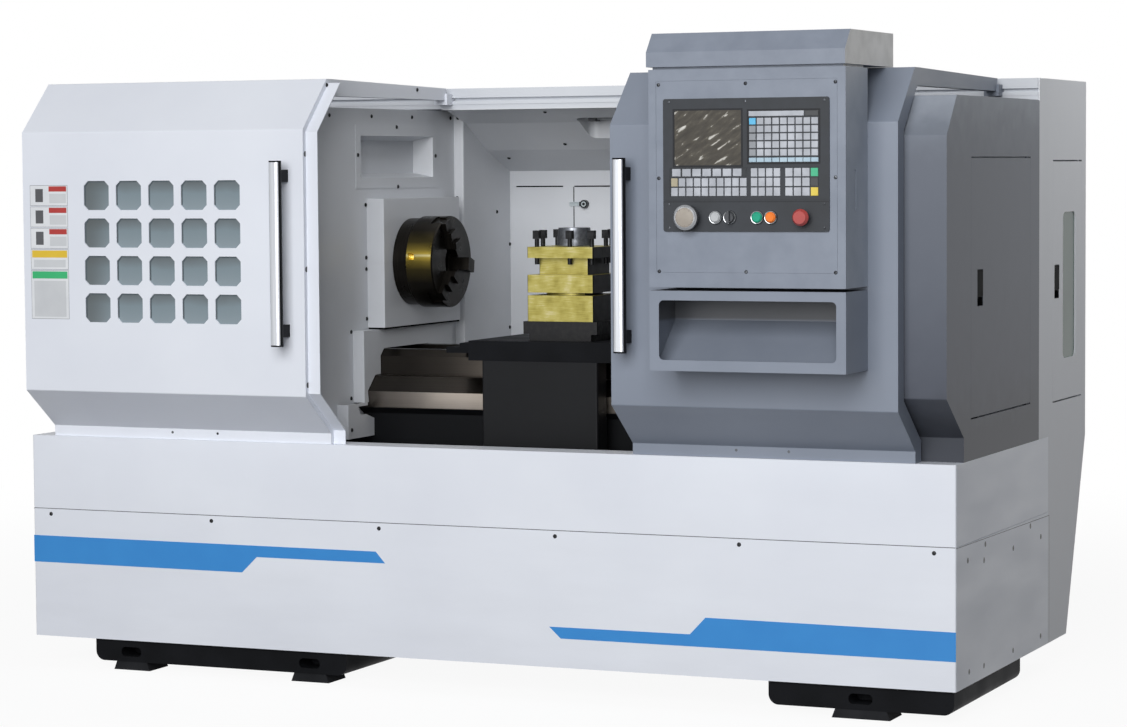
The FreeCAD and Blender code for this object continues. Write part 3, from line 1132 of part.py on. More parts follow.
rim = turned([
    (wheel_x - WHEEL_RIM, WHEEL_RADIUS - 2 * WHEEL_RIM),
    (wheel_x + WHEEL_RIM, WHEEL_RADIUS - 2 * WHEEL_RIM),
    (wheel_x + WHEEL_RIM / 2, WHEEL_RADIUS),
    (wheel_x - WHEEL_RIM / 2, WHEEL_RADIUS),
], "x", axis_point)
spokes = [
    spun(rod("z", (wheel_x, SPINDLE_Y), SPINDLE_Z, SPINDLE_Z + WHEEL_RADIUS - WHEEL_RIM, WHEEL_SPOKE), 120 * i)
    for i in range(3)
]
grip_point = (SPINDLE_Y, SPINDLE_Z + WHEEL_RADIUS - WHEEL_RIM)
tailstock_handwheel = union([
    rod("x", axis_point, quill_end + 2, wheel_x, WHEEL_SHAFT),
    rod("x", axis_point, TAIL_X[1] + SLIDE_GAP, wheel_x + WHEEL_HUB / 2, WHEEL_HUB),
    rim,
    rod("x", grip_point, wheel_x, wheel_x + 4 * WHEEL_HUB, WHEEL_SPOKE),
] + spokes)

# ================================================================ sliding doors
def door_arm(x):
    """Top arm of a door with the roller carriage that runs in the rail."""
    outline = [
        (DOOR_TOP_Y + 1, ARM_LOW),
        (ARM_END, ARM_LOW),
        (ARM_END, ARM_END_TOP),
        (DOOR_TOP_Y + DOOR_TOP_LIP, DOOR_TOP),
        (DOOR_TOP_Y + 1, DOOR_TOP),
    ]
    arm = prism(outline, "x", *x)
    hollow_y = (DOOR_TOP_Y + DOOR_TOP_LIP + 1, ARM_END - SHEET)
    arm = arm.cut(block((x[0] + SHEET, x[1] - SHEET), hollow_y, (ARM_LOW - 1, ARM_END_TOP - SHEET)))
    middle = (x[0] + x[1]) / 2
    roller_x = (middle - ROLLER_X / 2, middle + ROLLER_X / 2)
    low = GROOVE_Z - ROLLER_HEIGHT
    carriage = block(roller_x, (ROLLER_FRONT, RAIL_FRONT - ROLLER_GAP), (low, GROOVE_Z + ROLLER_HEIGHT))
    tongue_z = (groove[0] + ROLLER_GAP, groove[1] - ROLLER_GAP)
    tongue = block(roller_x, (RAIL_FRONT - ROLLER_GAP - 1, RAIL_FRONT + ROLLER_REACH), tongue_z)
    return arm.multiFuse([carriage, tongue])


def door_skin(x):
    """Folded front sheet of a sliding door with its top lip."""
    return folded([(DOOR_TOP_Y + DOOR_TOP_LIP, DOOR_TOP)] + door_run(), "x", *x)


def octagon(x, z):
    """Bevelled outline of one window cell from its lower left corner."""
    c, w = GRID_CHAMFER, GRID_CELL
    return [(x + c, z), (x + w - c, z), (x + w, z + c), (x + w, z + w - c),
            (x + w - c, z + w), (x + c, z + w), (x, z + w - c), (x, z + c)]


seal_run = moved_left(door_run(), RETURN_INNER)
seal_band = seal_run + moved_left(seal_run, SHEET)[::-1]
left_edge = LEFT_DOOR[1]
left_door = union([
    door_skin(LEFT_DOOR),
    edge_return(door_run(), RETURN_OUTER, (LEFT_DOOR[0], LEFT_DOOR[0] + SHEET)),
    edge_return(door_run(), RETURN_INNER + SHEET, (left_edge - SHEET, left_edge)),
    prism(seal_band, "x", left_edge - SHEET, left_edge + SEAL_FLANGE),
    door_arm((LEFT_DOOR[0], LEFT_DOOR[0] + ARM_WIDTH)),
    door_arm((left_edge - ARM_WIDTH, left_edge)),
])
cells = [
    prism(octagon(GRID_X + i * GRID_PITCH, GRID_Z + j * GRID_PITCH), "y",
          DOOR_FRONT - 1, DOOR_FRONT + SHEET + 1)
    for i in range(GRID_COLUMNS) for j in range(GRID_ROWS)
]
left_door = left_door.cut(Part.makeCompound(cells))
grid_x = (GRID_X - PANE_BORDER, GRID_X + GRID_CELL + (GRID_COLUMNS - 1) * GRID_PITCH + PANE_BORDER)
grid_z = (GRID_Z - PANE_BORDER, GRID_Z + GRID_CELL + (GRID_ROWS - 1) * GRID_PITCH + PANE_BORDER)
left_door_pane = slab(grid_x, grid_z, "y", DOOR_FRONT + SHEET, DOOR_FRONT + SHEET + PANE, 6)

right_edge = RIGHT_DOOR[0]
right_door = union([
    door_skin(RIGHT_DOOR),
    edge_return(door_run(), RETURN_INNER, (right_edge, right_edge + SHEET)),
    edge_return(door_run(), RETURN_OUTER, (RIGHT_DOOR[1] - SHEET, RIGHT_DOOR[1])),
    door_arm((right_edge + ARM_SET_IN, right_edge + ARM_SET_IN + ARM_WIDTH)),
    door_arm((RIGHT_DOOR[1] - ARM_WIDTH, RIGHT_DOOR[1])),
])


def handle(x):
    """Upright bar with end caps on two blocks."""
    y = (DOOR_FRONT - HANDLE_OFF - HANDLE_SIZE[1] / 2, DOOR_FRONT - HANDLE_OFF + HANDLE_SIZE[1] / 2)
    half = HANDLE_SIZE[0] / 2
    pieces = [slab((x - half, x + half), y, "z", *HANDLE_Z, HANDLE_ROUND)]
    for z in (HANDLE_Z[0] + BRACKET_INSET, HANDLE_Z[1] - BRACKET_INSET):
        spread = (x - BRACKET_SIZE[0] / 2, x + BRACKET_SIZE[0] / 2)
        pieces.append(block(spread, (y[1] - 4, DOOR_FRONT), (z - BRACKET_SIZE[1] / 2, z + BRACKET_SIZE[1] / 2)))
    return union(pieces)


left_door_handle = handle(HANDLE_LEFT_X)
right_door_handle = handle(HANDLE_RIGHT_X)

# ================================================================ control station
def inside(span, thickness=SHEET):
    """A span less the sheet thickness at both ends."""
    return (span[0] + thickness, span[1] - thickness)


box_y = (BOX_FRONT, DOOR_FRONT)
control_box = block(BOX_X, box_y, BOX_Z).cut(block(inside(BOX_X), inside(box_y), inside(BOX_Z)))
plate_line = slab((PLATE_X[0] - PLATE_GAP, PLATE_X[1] + PLATE_GAP),
                  (PLATE_Z[0] - PLATE_GAP, PLATE_Z[1] + PLATE_GAP),
                  "y", BOX_FRONT - 1, BOX_FRONT + SHEET / 2, 3)
plate_line = plate_line.cut(slab(PLATE_X, PLATE_Z, "y", BOX_FRONT - 2, BOX_FRONT + SHEET, 3))
control_box = control_box.cut(plate_line)
duct_x = ((BOX_X[0] + BOX_X[1]) / 2 - 60, (BOX_X[0] + BOX_X[1]) / 2 + 60)
duct_y = (BOX_FRONT + 50, DOOR_FRONT - 40)
control_box = control_box.cut(block(duct_x, duct_y, (BOX_Z[1] - SHEET - 1, BOX_Z[1] + 1)))
slot_y = (BOX_FRONT + BOX_SLOT_FRONT - BOX_SLOT[0] / 2, BOX_FRONT + BOX_SLOT_FRONT + BOX_SLOT[0] / 2)
slot_z = (BOX_Z[1] - BOX_SLOT_TOP - BOX_SLOT[1], BOX_Z[1] - BOX_SLOT_TOP)
control_box = control_box.cut(slab(slot_y, slot_z, "x", BOX_X[1] - SHEET / 2, BOX_X[1] + 1, BOX_SLOT[0] * 0.45))

hood_x = (BOX_X[0] - HOOD_SIDE, BOX_X[1] + HOOD_SIDE)
hood_outline = [
    (HOOD_FRONT, HOOD_Z[0]),
    (HOOD_REAR, HOOD_Z[0]),
    (HOOD_REAR, HOOD_Z[1]),
    (HOOD_TOP_FRONT, HOOD_Z[1]),
    (HOOD_FRONT, HOOD_FOLD),
]
hood_inner = [
    (HOOD_FRONT + SHEET, HOOD_Z[0] + SHEET),
    (HOOD_REAR - SHEET, HOOD_Z[0] + SHEET),
    (HOOD_REAR - SHEET, HOOD_Z[1] - SHEET),
    (HOOD_TOP_FRONT + SHEET / 2, HOOD_Z[1] - SHEET),
    (HOOD_FRONT + SHEET, HOOD_FOLD - SHEET / 2),
]
hood_shell = prism(hood_outline, "x", *hood_x).cut(prism(hood_inner, "x", *inside(hood_x)))
neck = block(inside(BOX_X, HOOD_NECK), inside(box_y, HOOD_NECK), (BOX_Z[1], HOOD_Z[0] + 1))
control_hood = union([hood_shell, neck]).cut(block(duct_x, duct_y, (BOX_Z[1] - 1, HOOD_Z[0] + SHEET + 1)))

pocket_hollow = [
    (BOX_FRONT + SHEET, POCKET_Z[0] + SHEET),
    (DOOR_FRONT - POCKET_SHELF_FRONT + SHEET, POCKET_Z[0] + SHEET),
    (DOOR_FRONT - SHEET, POCKET_SHELF_Z),
    (DOOR_FRONT - SHEET, POCKET_Z[1] - SHEET),
    (BOX_FRONT + SHEET, POCKET_Z[1] - SHEET),
]
pocket_box = block(BOX_X, box_y, POCKET_Z).cut(prism(pocket_hollow, "x", *inside(BOX_X)))
under_shelf = [
    (DOOR_FRONT - POCKET_SHELF_FRONT + 5 * SHEET, POCKET_Z[0] - 1),
    (DOOR_FRONT + 1, POCKET_Z[0] - 1),
    (DOOR_FRONT + 1, POCKET_SHELF_Z - 2 * SHEET),
    (DOOR_FRONT - SHEET, POCKET_SHELF_Z - 2 * SHEET),
]
pocket_box = pocket_box.cut(prism(under_shelf, "x", *inside(BOX_X)))
mouth_x = inside(BOX_X, POCKET_BORDER)
mouth = slab(mouth_x, POCKET_MOUTH_Z, "y", BOX_FRONT - 1, BOX_FRONT + SHEET + 1, POCKET_CORNER)
pocket_box = pocket_box.cut(mouth)

panel_face = BOX_FRONT - PANEL
keyboard_panel = slab(PANEL_X, PANEL_Z, "y", panel_face, BOX_FRONT, 6)
split_x = (PANEL_X[0] - 1, PANEL_X[1] + 1)
split_line = block(split_x, (panel_face - 1, panel_face + 1), (PANEL_SPLIT - 1, PANEL_SPLIT + 1))
bays = [split_line, slab(SCREEN_X, SCREEN_Z, "y", panel_face - 1, panel_face + BAY_DEPTH, 4)]


def key_field(x, z, columns, rows):
    """Raised keys in even columns and rows over a span."""
    width = (x[1] - x[0]) / columns
    height = (z[1] - z[0]) / rows
    keys = []
    for i in range(columns):
        for j in range(rows):
            key_x = inside((x[0] + i * width, x[0] + (i + 1) * width), KEY_MARGIN)
            key_z = inside((z[0] + j * height, z[0] + (j + 1) * height), KEY_MARGIN * 0.7)
            keys.append(block(key_x, (panel_face + BAY_DEPTH - KEY_HEIGHT, panel_face + BAY_DEPTH + 1), key_z))
    return keys


key_groups = (
    (KEYPAD_X, KEYPAD_Z, key_field(inside(KEYPAD_X, 2), inside(KEYPAD_Z, 2), 9, 6)),
    (LOW_KEYS_X, LOW_KEYS_Z,
     key_field((LOW_KEYS_X[0] + 2, LOW_KEYS_X[0] + 196), (LOW_KEYS_Z[0], LOW_KEYS_Z[1]), 10, 3)
     + key_field((LOW_KEYS_X[0] + 204, LOW_KEYS_X[0] + 280), LOW_KEYS_Z, 4, 3)
     + key_field((LOW_KEYS_X[0] + 290, LOW_KEYS_X[1] - 2), LOW_KEYS_Z, 4, 3)),
)
for group_x, group_z, keys in key_groups:
    bay = slab(group_x, group_z, "y", panel_face - 1, panel_face + BAY_DEPTH, 3)
    bays.append(bay.cut(Part.makeCompound(keys)))
keyboard_panel = keyboard_panel.cut(Part.makeCompound(bays[1:])).cut(bays[0])
screen = slab(inside(SCREEN_X, 0.3), inside(SCREEN_Z, 0.3), "y", panel_face + 0.4, panel_face + BAY_DEPTH, 4)

PUSH_X = (POWER_X, START_X, HOLD_X)
ring_face = panel_face - BEZEL_HEIGHT
stem_back = BOX_FRONT + SHEET + BUTTON_TRAVEL
for button_x in PUSH_X + (SELECTOR_X, STOP_X, WHEEL_X):
    keyboard_panel = keyboard_panel.fuse(rod("y", (button_x, CONTROL_Z), ring_face, panel_face, BEZEL_RADIUS))
for button_x in PUSH_X + (SELECTOR_X, STOP_X, WHEEL_X):
    bore = rod("y", (button_x, CONTROL_Z), ring_face - 1, BOX_FRONT + SHEET + 1, BUTTON_RADIUS + BUTTON_GAP)
    keyboard_panel = keyboard_panel.cut(bore)
    control_box = control_box.cut(bore)
keyboard_panel = keyboard_panel.removeSplitter()


def push_button(x):
    """Round button cap with its stem through the panel."""
    back = stem_back
    front = panel_face - BUTTON_HEIGHT
    return turned([
        (front, 0),
        (front, BUTTON_RADIUS - 1.5),
        (front + 1.5, BUTTON_RADIUS),
        (back, BUTTON_RADIUS),
        (back, 0),
    ], "y", (x, CONTROL_Z))


power_button, start_button, hold_button = [push_button(x) for x in PUSH_X]
selector_front = panel_face - BUTTON_HEIGHT
selector_knob = union([
    rod("y", (SELECTOR_X, CONTROL_Z), selector_front, stem_back, BUTTON_RADIUS),
    slab((SELECTOR_X - 3.5, SELECTOR_X + 3.5), (CONTROL_Z - 14, CONTROL_Z + 14), "y",
         selector_front - 9, selector_front + 1, 3),
])
stop_front = panel_face - STOP_HEIGHT
stop_back = ring_face - STOP_TRAVEL - 1
emergency_stop = turned([
    (stop_front, 0),
    (stop_front, STOP_RADIUS - 5),
    (stop_front + 8, STOP_RADIUS),
    (stop_back, STOP_RADIUS - 2),
    (stop_back, STOP_STEM),
    (stem_back, STOP_STEM),
    (stem_back, 0),
], "y", (STOP_X, CONTROL_Z))
dial_back = ring_face - 1
pulse_wheel = turned([
    (panel_face - DIAL_HEIGHT, 0),
    (panel_face - DIAL_HEIGHT, DIAL_RADIUS - 4),
    (panel_face - DIAL_HEIGHT + 4, DIAL_RADIUS),
    (panel_face - DIAL_HEIGHT + 14, DIAL_RADIUS),
    (panel_face - DIAL_HEIGHT + 16, DIAL_RADIUS - 4),
    (dial_back, DIAL_RADIUS - 4),
    (dial_back, BUTTON_RADIUS),
    (stem_back, BUTTON_RADIUS),
    (stem_back, 0),
], "y", (WHEEL_X, CONTROL_Z))
dimple = rod("y", (WHEEL_X + DIAL_RADIUS * 0.5, CONTROL_Z + DIAL_RADIUS * 0.3),
             panel_face - DIAL_HEIGHT - 1, panel_face - DIAL_HEIGHT + 2, 5)
pulse_wheel = pulse_wheel.cut(dimple)

# ================================================================ service doors
def service_door(y, z, latch_y, latch_z):
    """Flush side door with stiffening folds, its hinge rod and the pressed cup of its latch."""
    outer = (LENGTH - SHEET, LENGTH)
    door = slab(y, z, "x", *outer)
    inner_y, inner_z = inside(y, STIFFENER_INSET), inside(z, STIFFENER_INSET)
    frame = slab(inner_y, inner_z, "x", LENGTH - STIFFENER_DEPTH, LENGTH - SHEET)
    inner = (inside(inner_y), inside(inner_z))
    frame = frame.cut(slab(*inner, "x", LENGTH - STIFFENER_DEPTH - 1, LENGTH - SHEET))
    lugs = hinge_z(z)
    axis = (LENGTH - SHEET - HINGE_PIN + HINGE_SINK, y[1] - HINGE_INSET)
    hinge = rod("z", axis, lugs[0][0] + HINGE_END, lugs[1][1] - HINGE_END, HINGE_PIN)
    cup_y = (latch_y, latch_y + LATCH_SIZE[0])
    cup_z = (latch_z - LATCH_SIZE[1] / 2, latch_z + LATCH_SIZE[1] / 2)
    cup = slab(inside(cup_y, -SHEET), inside(cup_z, -SHEET), "x", LENGTH - LATCH_CUP, LENGTH - SHEET)
    frame = frame.cut(cup)
    hollow = slab(cup_y, cup_z, "x", LENGTH - LATCH_CUP + SHEET, LENGTH + 1, LATCH_CUP_ROUND)
    pin_axis = (LENGTH - SHEET - 0.5, cup_z[1] - PIN_DROP)
    pin = rod("y", pin_axis, cup_y[0] - 2, cup_y[1] + 2, PADDLE_PIN + BEARING_GAP)
    return union([door, frame, cup, hinge]).cut(hollow).cut(pin)


def paddle(latch_y, latch_z):
    """Latch paddle with the pin that it swings on."""
    y = (latch_y + LATCH_GAP, latch_y + LATCH_SIZE[0] - LATCH_GAP)
    top = latch_z + LATCH_SIZE[1] / 2
    z = (top - LATCH_SIZE[1] + FINGER_GAP, top - LATCH_HEADROOM)
    plate = slab(y, z, "x", LENGTH - SHEET, LENGTH, PADDLE_ROUND)
    pin_axis = (LENGTH - SHEET - 0.5, top - PIN_DROP)
    pin = rod("y", pin_axis, latch_y - 1.7, latch_y + LATCH_SIZE[0] + 1.7, PADDLE_PIN)
    return union([plate, pin])


latch_y = SIDE_DOOR[0] + LATCH_EDGE
rear_latch_y = REAR_DOOR[0] + LATCH_EDGE_REAR
right_side_door = service_door(SIDE_DOOR, SIDE_DOOR_Z, latch_y, LATCH_Z)
side_door_latch = paddle(latch_y, LATCH_Z)
rear_side_door = service_door(REAR_DOOR, REAR_DOOR_Z, rear_latch_y, LATCH_Z_REAR)
window_hole = slab(WINDOW, WINDOW_Z, "x", LENGTH - SHEET - 1, LENGTH + 1, WINDOW_ROUND)
rear_side_door = rear_side_door.cut(window_hole)
rear_door_latch = paddle(rear_latch_y, LATCH_Z_REAR)
side_window = slab(inside(WINDOW, -WINDOW_OVERLAP), inside(WINDOW_Z, -WINDOW_OVERLAP), "x",
                   LENGTH - SHEET - GLASS, LENGTH - SHEET, WINDOW_ROUND)

knob_point = (ACCESS_DOOR[0] + KNOB_X, KNOB_Z)
rear_access_door = slab(ACCESS_DOOR, ACCESS_DOOR_Z, "y", REAR_WALL, REAR_WALL + SHEET)
edge_frame = slab(inside(ACCESS_DOOR, STIFFENER_INSET), inside(ACCESS_DOOR_Z, STIFFENER_INSET), "y",
                  REAR_WALL + SHEET, REAR_WALL + STIFFENER_DEPTH)
edge_frame = edge_frame.cut(slab(
    inside(ACCESS_DOOR, STIFFENER_INSET + SHEET), inside(ACCESS_DOOR_Z, STIFFENER_INSET + SHEET), "y",
    REAR_WALL + SHEET, REAR_WALL + STIFFENER_DEPTH + 1))
stud_hole = rod("y", knob_point, REAR_WALL - 1, REAR_WALL + STIFFENER_DEPTH + 1, KNOB_STUD + BEARING_GAP)
lugs = hinge_z(ACCESS_DOOR_Z)
access_hinge = rod("z", access_axis, lugs[0][0] + HINGE_END, lugs[1][1] - HINGE_END, HINGE_PIN_REAR)
rear_access_door = union([rear_access_door, edge_frame, access_hinge]).cut(stud_hole)
latch_face = REAR_WALL - SLIDE_GAP
access_latch = union([
    rod("y", knob_point, latch_face - KNOB_HEIGHT, latch_face, KNOB_RADIUS),
    rod("y", knob_point, latch_face - 1, REAR_WALL + SHEET + 3, KNOB_STUD),
    slab((knob_point[0] - KNOB_FINGER[0], knob_point[0]),
         (KNOB_Z - KNOB_FINGER[1] / 2, KNOB_Z + KNOB_FINGER[1] / 2), "y", latch_face - 3, latch_face, 3),
])

NODES = {
    "left_pedestal": left_pedestal,
    "right_pedestal": right_pedestal,
    "levelling_pads": Part.makeCompound(pads),
    "bed": bed,
    "base_skirt": base_skirt,
    "splash_tray": splash_tray,
    "left_fixed_cover": left_fixed_cover,
    "right_fixed_cover": right_fixed_cover,
    "rear_housing": rear_housing,
    "lamp_panel": lamp_panel,
    "work_lamp": work_lamp,
    "top_rail": top_rail,
    "headstock_wall": headstock_wall,
    "viewing_box": viewing_box,
    "headstock_cover": headstock_cover,
    "way_guard": way_guard,
    "headstock_housing": headstock_housing,
    "spindle_bearings": Part.makeCompound(bearings),
    "main_motor": main_motor,
    "carriage_servo": carriage_servo,
    "spindle": spindle,
    "chuck_body": chuck_body,
    "chuck_jaw_1": jaws[0],
    "chuck_jaw_2": jaws[1],
    "chuck_jaw_3": jaws[2],
    "motor_pulley": motor_pulley,
    "saddle": saddle,
    "apron_cover": apron_cover,
    "carriage_screw": carriage_screw,
    "cross_slide": cross_slide,
    "turret_base": turret_base,
    "turret_head": turret_head,
    "turret_cap": turret_cap,
    "tool_bolts": Part.makeCompound(bolts),
    "tailstock_body": tailstock_body,
    "tailstock_quill": tailstock_quill,
    "tailstock_handwheel": tailstock_handwheel,
    "left_door": left_door,
    "left_door_pane": left_door_pane,
    "left_door_handle": left_door_handle,
    "right_door": right_door,
    "right_door_handle": right_door_handle,
    "control_box": control_box,
    "control_hood": control_hood,
    "pocket_box": pocket_box,
    "keyboard_panel": keyboard_panel,
    "screen": screen,
    "pulse_wheel": pulse_wheel,
    "start_button": start_button,
    "hold_button": hold_button,
    "power_button": power_button,
    "selector_knob": selector_knob,
    "emergency_stop": emergency_stop,
    "right_side_door": right_side_door,
    "side_door_latch": side_door_latch,
    "rear_side_door": rear_side_door,
    "side_window": side_window,
    "rear_door_latch": rear_door_latch,
    "rear_access_door": rear_access_door,
    "access_latch": access_latch,
}

os.makedirs("parts", exist_ok=True)
for name, shape in NODES.items():
    placed = shape.copy()
    placed.translate(-ORIGIN)
    placed.exportStep(f"parts/{name}.step")
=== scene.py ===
import bmesh
import bpy
import math
from mathutils import Matrix, Vector


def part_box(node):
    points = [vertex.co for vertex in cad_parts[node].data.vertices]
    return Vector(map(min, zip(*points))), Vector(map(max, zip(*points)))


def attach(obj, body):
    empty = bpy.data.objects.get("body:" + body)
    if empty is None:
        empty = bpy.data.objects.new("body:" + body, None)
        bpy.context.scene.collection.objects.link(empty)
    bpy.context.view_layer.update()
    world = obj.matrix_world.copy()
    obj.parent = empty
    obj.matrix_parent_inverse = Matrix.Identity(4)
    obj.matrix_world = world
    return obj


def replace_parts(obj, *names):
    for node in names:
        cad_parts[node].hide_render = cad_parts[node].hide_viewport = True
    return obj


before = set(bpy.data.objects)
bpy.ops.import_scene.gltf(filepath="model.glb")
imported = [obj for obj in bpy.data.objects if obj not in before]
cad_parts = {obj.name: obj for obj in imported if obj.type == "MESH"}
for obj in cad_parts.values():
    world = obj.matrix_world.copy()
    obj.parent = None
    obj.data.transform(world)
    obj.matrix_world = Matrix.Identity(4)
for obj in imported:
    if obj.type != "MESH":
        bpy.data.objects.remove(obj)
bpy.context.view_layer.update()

# ------------ feet and pedestals
# Two hollow grey-iron castings under the bed, brushed with thick black machine enamel.
# The enamel bridges the sand-cast skin, so it is satin, softly lumpy and worn at the
# floor, where the levelling pads stand.


def linear(code):
    """sRGB hex colour as linear RGBA."""
    parts = [int(code[i:i + 2], 16) / 255 for i in (1, 3, 5)]
    return [c / 12.92 if c <= 0.04045 else ((c + 0.055) / 1.055) ** 2.4 for c in parts] + [1.0]


def node(material, kind, inputs=(), **settings):
    """Adds one shader node; a value that is itself a node stands for its first output."""
    made = material.node_tree.nodes.new("ShaderNode" + kind)
    for name, value in settings.items():
        setattr(made, name, value)
    for socket, value in dict(inputs).items():
        if isinstance(value, bpy.types.Node):
            value = next(output for output in value.outputs if output.enabled)
        if isinstance(value, bpy.types.NodeSocket):
            material.node_tree.links.new(value, made.inputs[socket])
        else:
            made.inputs[socket].default_value = value
    return made


def blank(name):
    """Node material with nothing in it, and its frame-space coordinates."""
    material = bpy.data.materials.new(name)
    material.use_nodes = True
    material.node_tree.nodes.clear()
    return material, node(material, "TexCoord").outputs["Object"]


def pattern(material, spot, size_mm, detail):
    """Noise with marks of a real size in mm, or drawn out to three sizes along X, Y and Z."""
    sizes = size_mm if isinstance(size_mm, tuple) else (size_mm, size_mm, size_mm)
    lay = node(material, "Mapping", {"Vector": spot, "Scale": [1000 / size for size in sizes]})
    return node(material, "TexNoise", {"Vector": lay, "Scale": 1.0, "Detail": detail})


def shades(material, factor, low, high, *codes, at=(0, 1)):
    """Hex colours spread over part of a pattern's range, each at its place from 0 to 1."""
    span = node(material, "MapRange", {"Value": factor, "From Min": low, "From Max": high})
    made = node(material, "ValToRGB", {"Fac": span})
    points = made.color_ramp.elements
    while len(points) < len(codes):
        points.new(0.5)
    for point, position, code in zip(points, at, codes):
        point.position = position
        point.color = linear(code)
    return made


def surface(material, colour, rough, relief=None, gloss=0.5, ior=1.5, metal=0.0):
    """Finishes a material. rough is a roughness, or a pattern and the roughness at its
    low and high end; relief is a pattern, its strength and its depth in mm."""
    if isinstance(rough, tuple):
        grain, at_low, at_high = rough
        rough = node(material, "MapRange", {
            "Value": grain, "From Min": 0.3, "From Max": 0.7, "To Min": at_low, "To Max": at_high})
    values = {"Base Color": colour, "Roughness": rough, "Metallic": metal, "IOR": ior,
              "Specular IOR Level": gloss}
    if relief:
        grain, strength, depth_mm = relief
        values["Normal"] = node(material, "Bump", {
            "Height": grain, "Strength": strength, "Distance": depth_mm / 1000})
    shader = node(material, "BsdfPrincipled", values)
    node(material, "OutputMaterial", {"Surface": shader})
    return material


def dress(material, *names):
    """Gives CAD nodes a material."""
    for name in names:
        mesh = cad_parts[name].data
        mesh.materials.clear()
        mesh.materials.append(material)


def enamel(name, dark, light, lump_mm, roughness, gloss=0.25):
    """Thick brushed paint over a cast skin."""
    material, spot = blank(name)
    cloud = pattern(material, spot, 140, 5.0)
    skin = pattern(material, spot, lump_mm, 3.0)
    return surface(material, shades(material, cloud, 0.3, 0.7, dark, light),
                   (cloud, roughness - 0.07, roughness + 0.09), (skin, 0.35, 0.6), gloss)


def piece(name, mesh, material, body, crease=35):
    """Links a finished mesh as one piece that rides on a body; crease 0 keeps its shading."""
    if crease:
        bmesh.ops.recalc_face_normals(mesh, faces=mesh.faces)
        for face in mesh.faces:
            face.smooth = True
    data = bpy.data.meshes.new(name)
    mesh.to_mesh(data)
    mesh.free()
    if crease:
        data.set_sharp_from_angle(angle=math.radians(crease))
    data.materials.append(material)
    made = bpy.data.objects.new(name, data)
    bpy.context.scene.collection.objects.link(made)
    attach(made, body)
    return made


def reshaped(name, node_name, material, moves, step, crease=35):
    """Stands in for a CAD node: a copy whose corners move along X where moves says so."""
    mesh = bmesh.new()
    mesh.from_mesh(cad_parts[node_name].data)
    for corner in mesh.verts:
        if moves(corner.co):
            corner.co.x += step
    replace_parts(piece(name, mesh, material, "frame", crease), node_name)


black_enamel = enamel("black machine enamel on grey iron", "#111214", "#1A1B1E", 9, 0.5, 0.04)
dress(black_enamel, "left_pedestal")
# The rear foot of the right casting is narrower than the front one, which hides it.
FOOT_X, FOOT_Y = 0.990, 0.285  # m; the rear foot's outer end lies beyond both
FOOT_INSET = 0.106  # m; how far in that end stands
reshaped("right_casting", "right_pedestal", black_enamel,
         lambda corner: corner.x > FOOT_X and corner.y > FOOT_Y, -FOOT_INSET, crease=0)

# ------------ levelling pads
# Tapered steel shoes that the machine is levelled on.  They are sawn and painted with
# the feet, and the paint is scuffed grey where they were slid on the floor.
dress(enamel("scuffed black paint on steel", "#17181A", "#2E2F32", 14, 0.6, 0.05), "levelling_pads")

# ------------ skirt and splash tray
# Folded and welded 3 mm steel sheet, sprayed with white polyester powder and baked.
# Powder coat flows out to a satin skin with a fine orange peel and very faint clouds,
# and dust and handling dull it a little towards the floor.
PEEL = 3.0  # mm; real orange peel is nearer 1.5, too fine to show
WIPES = (1000 / 3, 1000 / 3, 1000 / 14)  # mm; long level strokes of a cloth
DUST = (0.06, 0.75)  # m; dust lies thick at the first height and ends at the second


def powder_coat(name, dark, light, dusty, roughness, gloss=0.5):
    """Baked powder on sheet steel, with dust that gathers towards the floor."""
    material, spot = blank(name)
    cloud = pattern(material, spot, 420, 4.0)
    peel = pattern(material, spot, PEEL, 2.0)
    smear = pattern(material, spot, WIPES, 6.0)
    low = node(material, "MapRange", {
        "Value": node(material, "SeparateXYZ", {"Vector": spot}).outputs["Z"],
        "From Min": DUST[0], "From Max": DUST[1], "To Min": 0.55, "To Max": 0.0})
    dust = node(material, "Math", {0: low, 1: smear}, operation="MULTIPLY")
    coat = node(material, "Mix", {
        "Factor": dust, "A": shades(material, cloud, 0.35, 0.65, dark, light),
        "B": linear(dusty)}, data_type="RGBA")
    return surface(material, coat, (smear, roughness - 0.05, roughness + 0.08), (peel, 0.12, 0.2), gloss)


white_powder = powder_coat("white polyester powder coat", "#DFE3EC", "#E5E9F1", "#C6C9D0", 0.40)
dress(white_powder, "base_skirt", "splash_tray")

skirt_corner = Vector(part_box("base_skirt")[0])
SKIRT_END = 2620  # mm
LEFT_STRIPE = ((0, 276), (0, 203), (652, 202), (697, 245), (1079, 245), (1052, 275))
RIGHT_STRIPE = ((1546, 104), (1578, 75), (SKIRT_END, 74), (SKIRT_END, 146), (1973, 149), (1931, 105))
FILM = 0.4  # mm; thickness of the stripes


def place(x, y, z):
    """Point in the frame, from mm off the skirt's lower left front corner."""
    return skirt_corner + Vector((x, y, z)) / 1000


def plate(mesh, corners, depth_mm, soft=0.0):
    """Adds a flat plate: corners of its face, the way back through it, rim softened in mm."""
    front = [mesh.verts.new(corner) for corner in corners]
    back = [mesh.verts.new(corner + Vector(depth_mm) / 1000) for corner in corners]
    face = mesh.faces.new(front)
    mesh.faces.new(back[::-1])
    for i, corner in enumerate(front):
        ahead = (i + 1) % len(front)
        mesh.faces.new((corner, back[i], back[ahead], front[ahead]))
    if soft:
        bmesh.ops.bevel(mesh, geom=list(face.edges), offset=soft / 1000, segments=2, affect="EDGES")


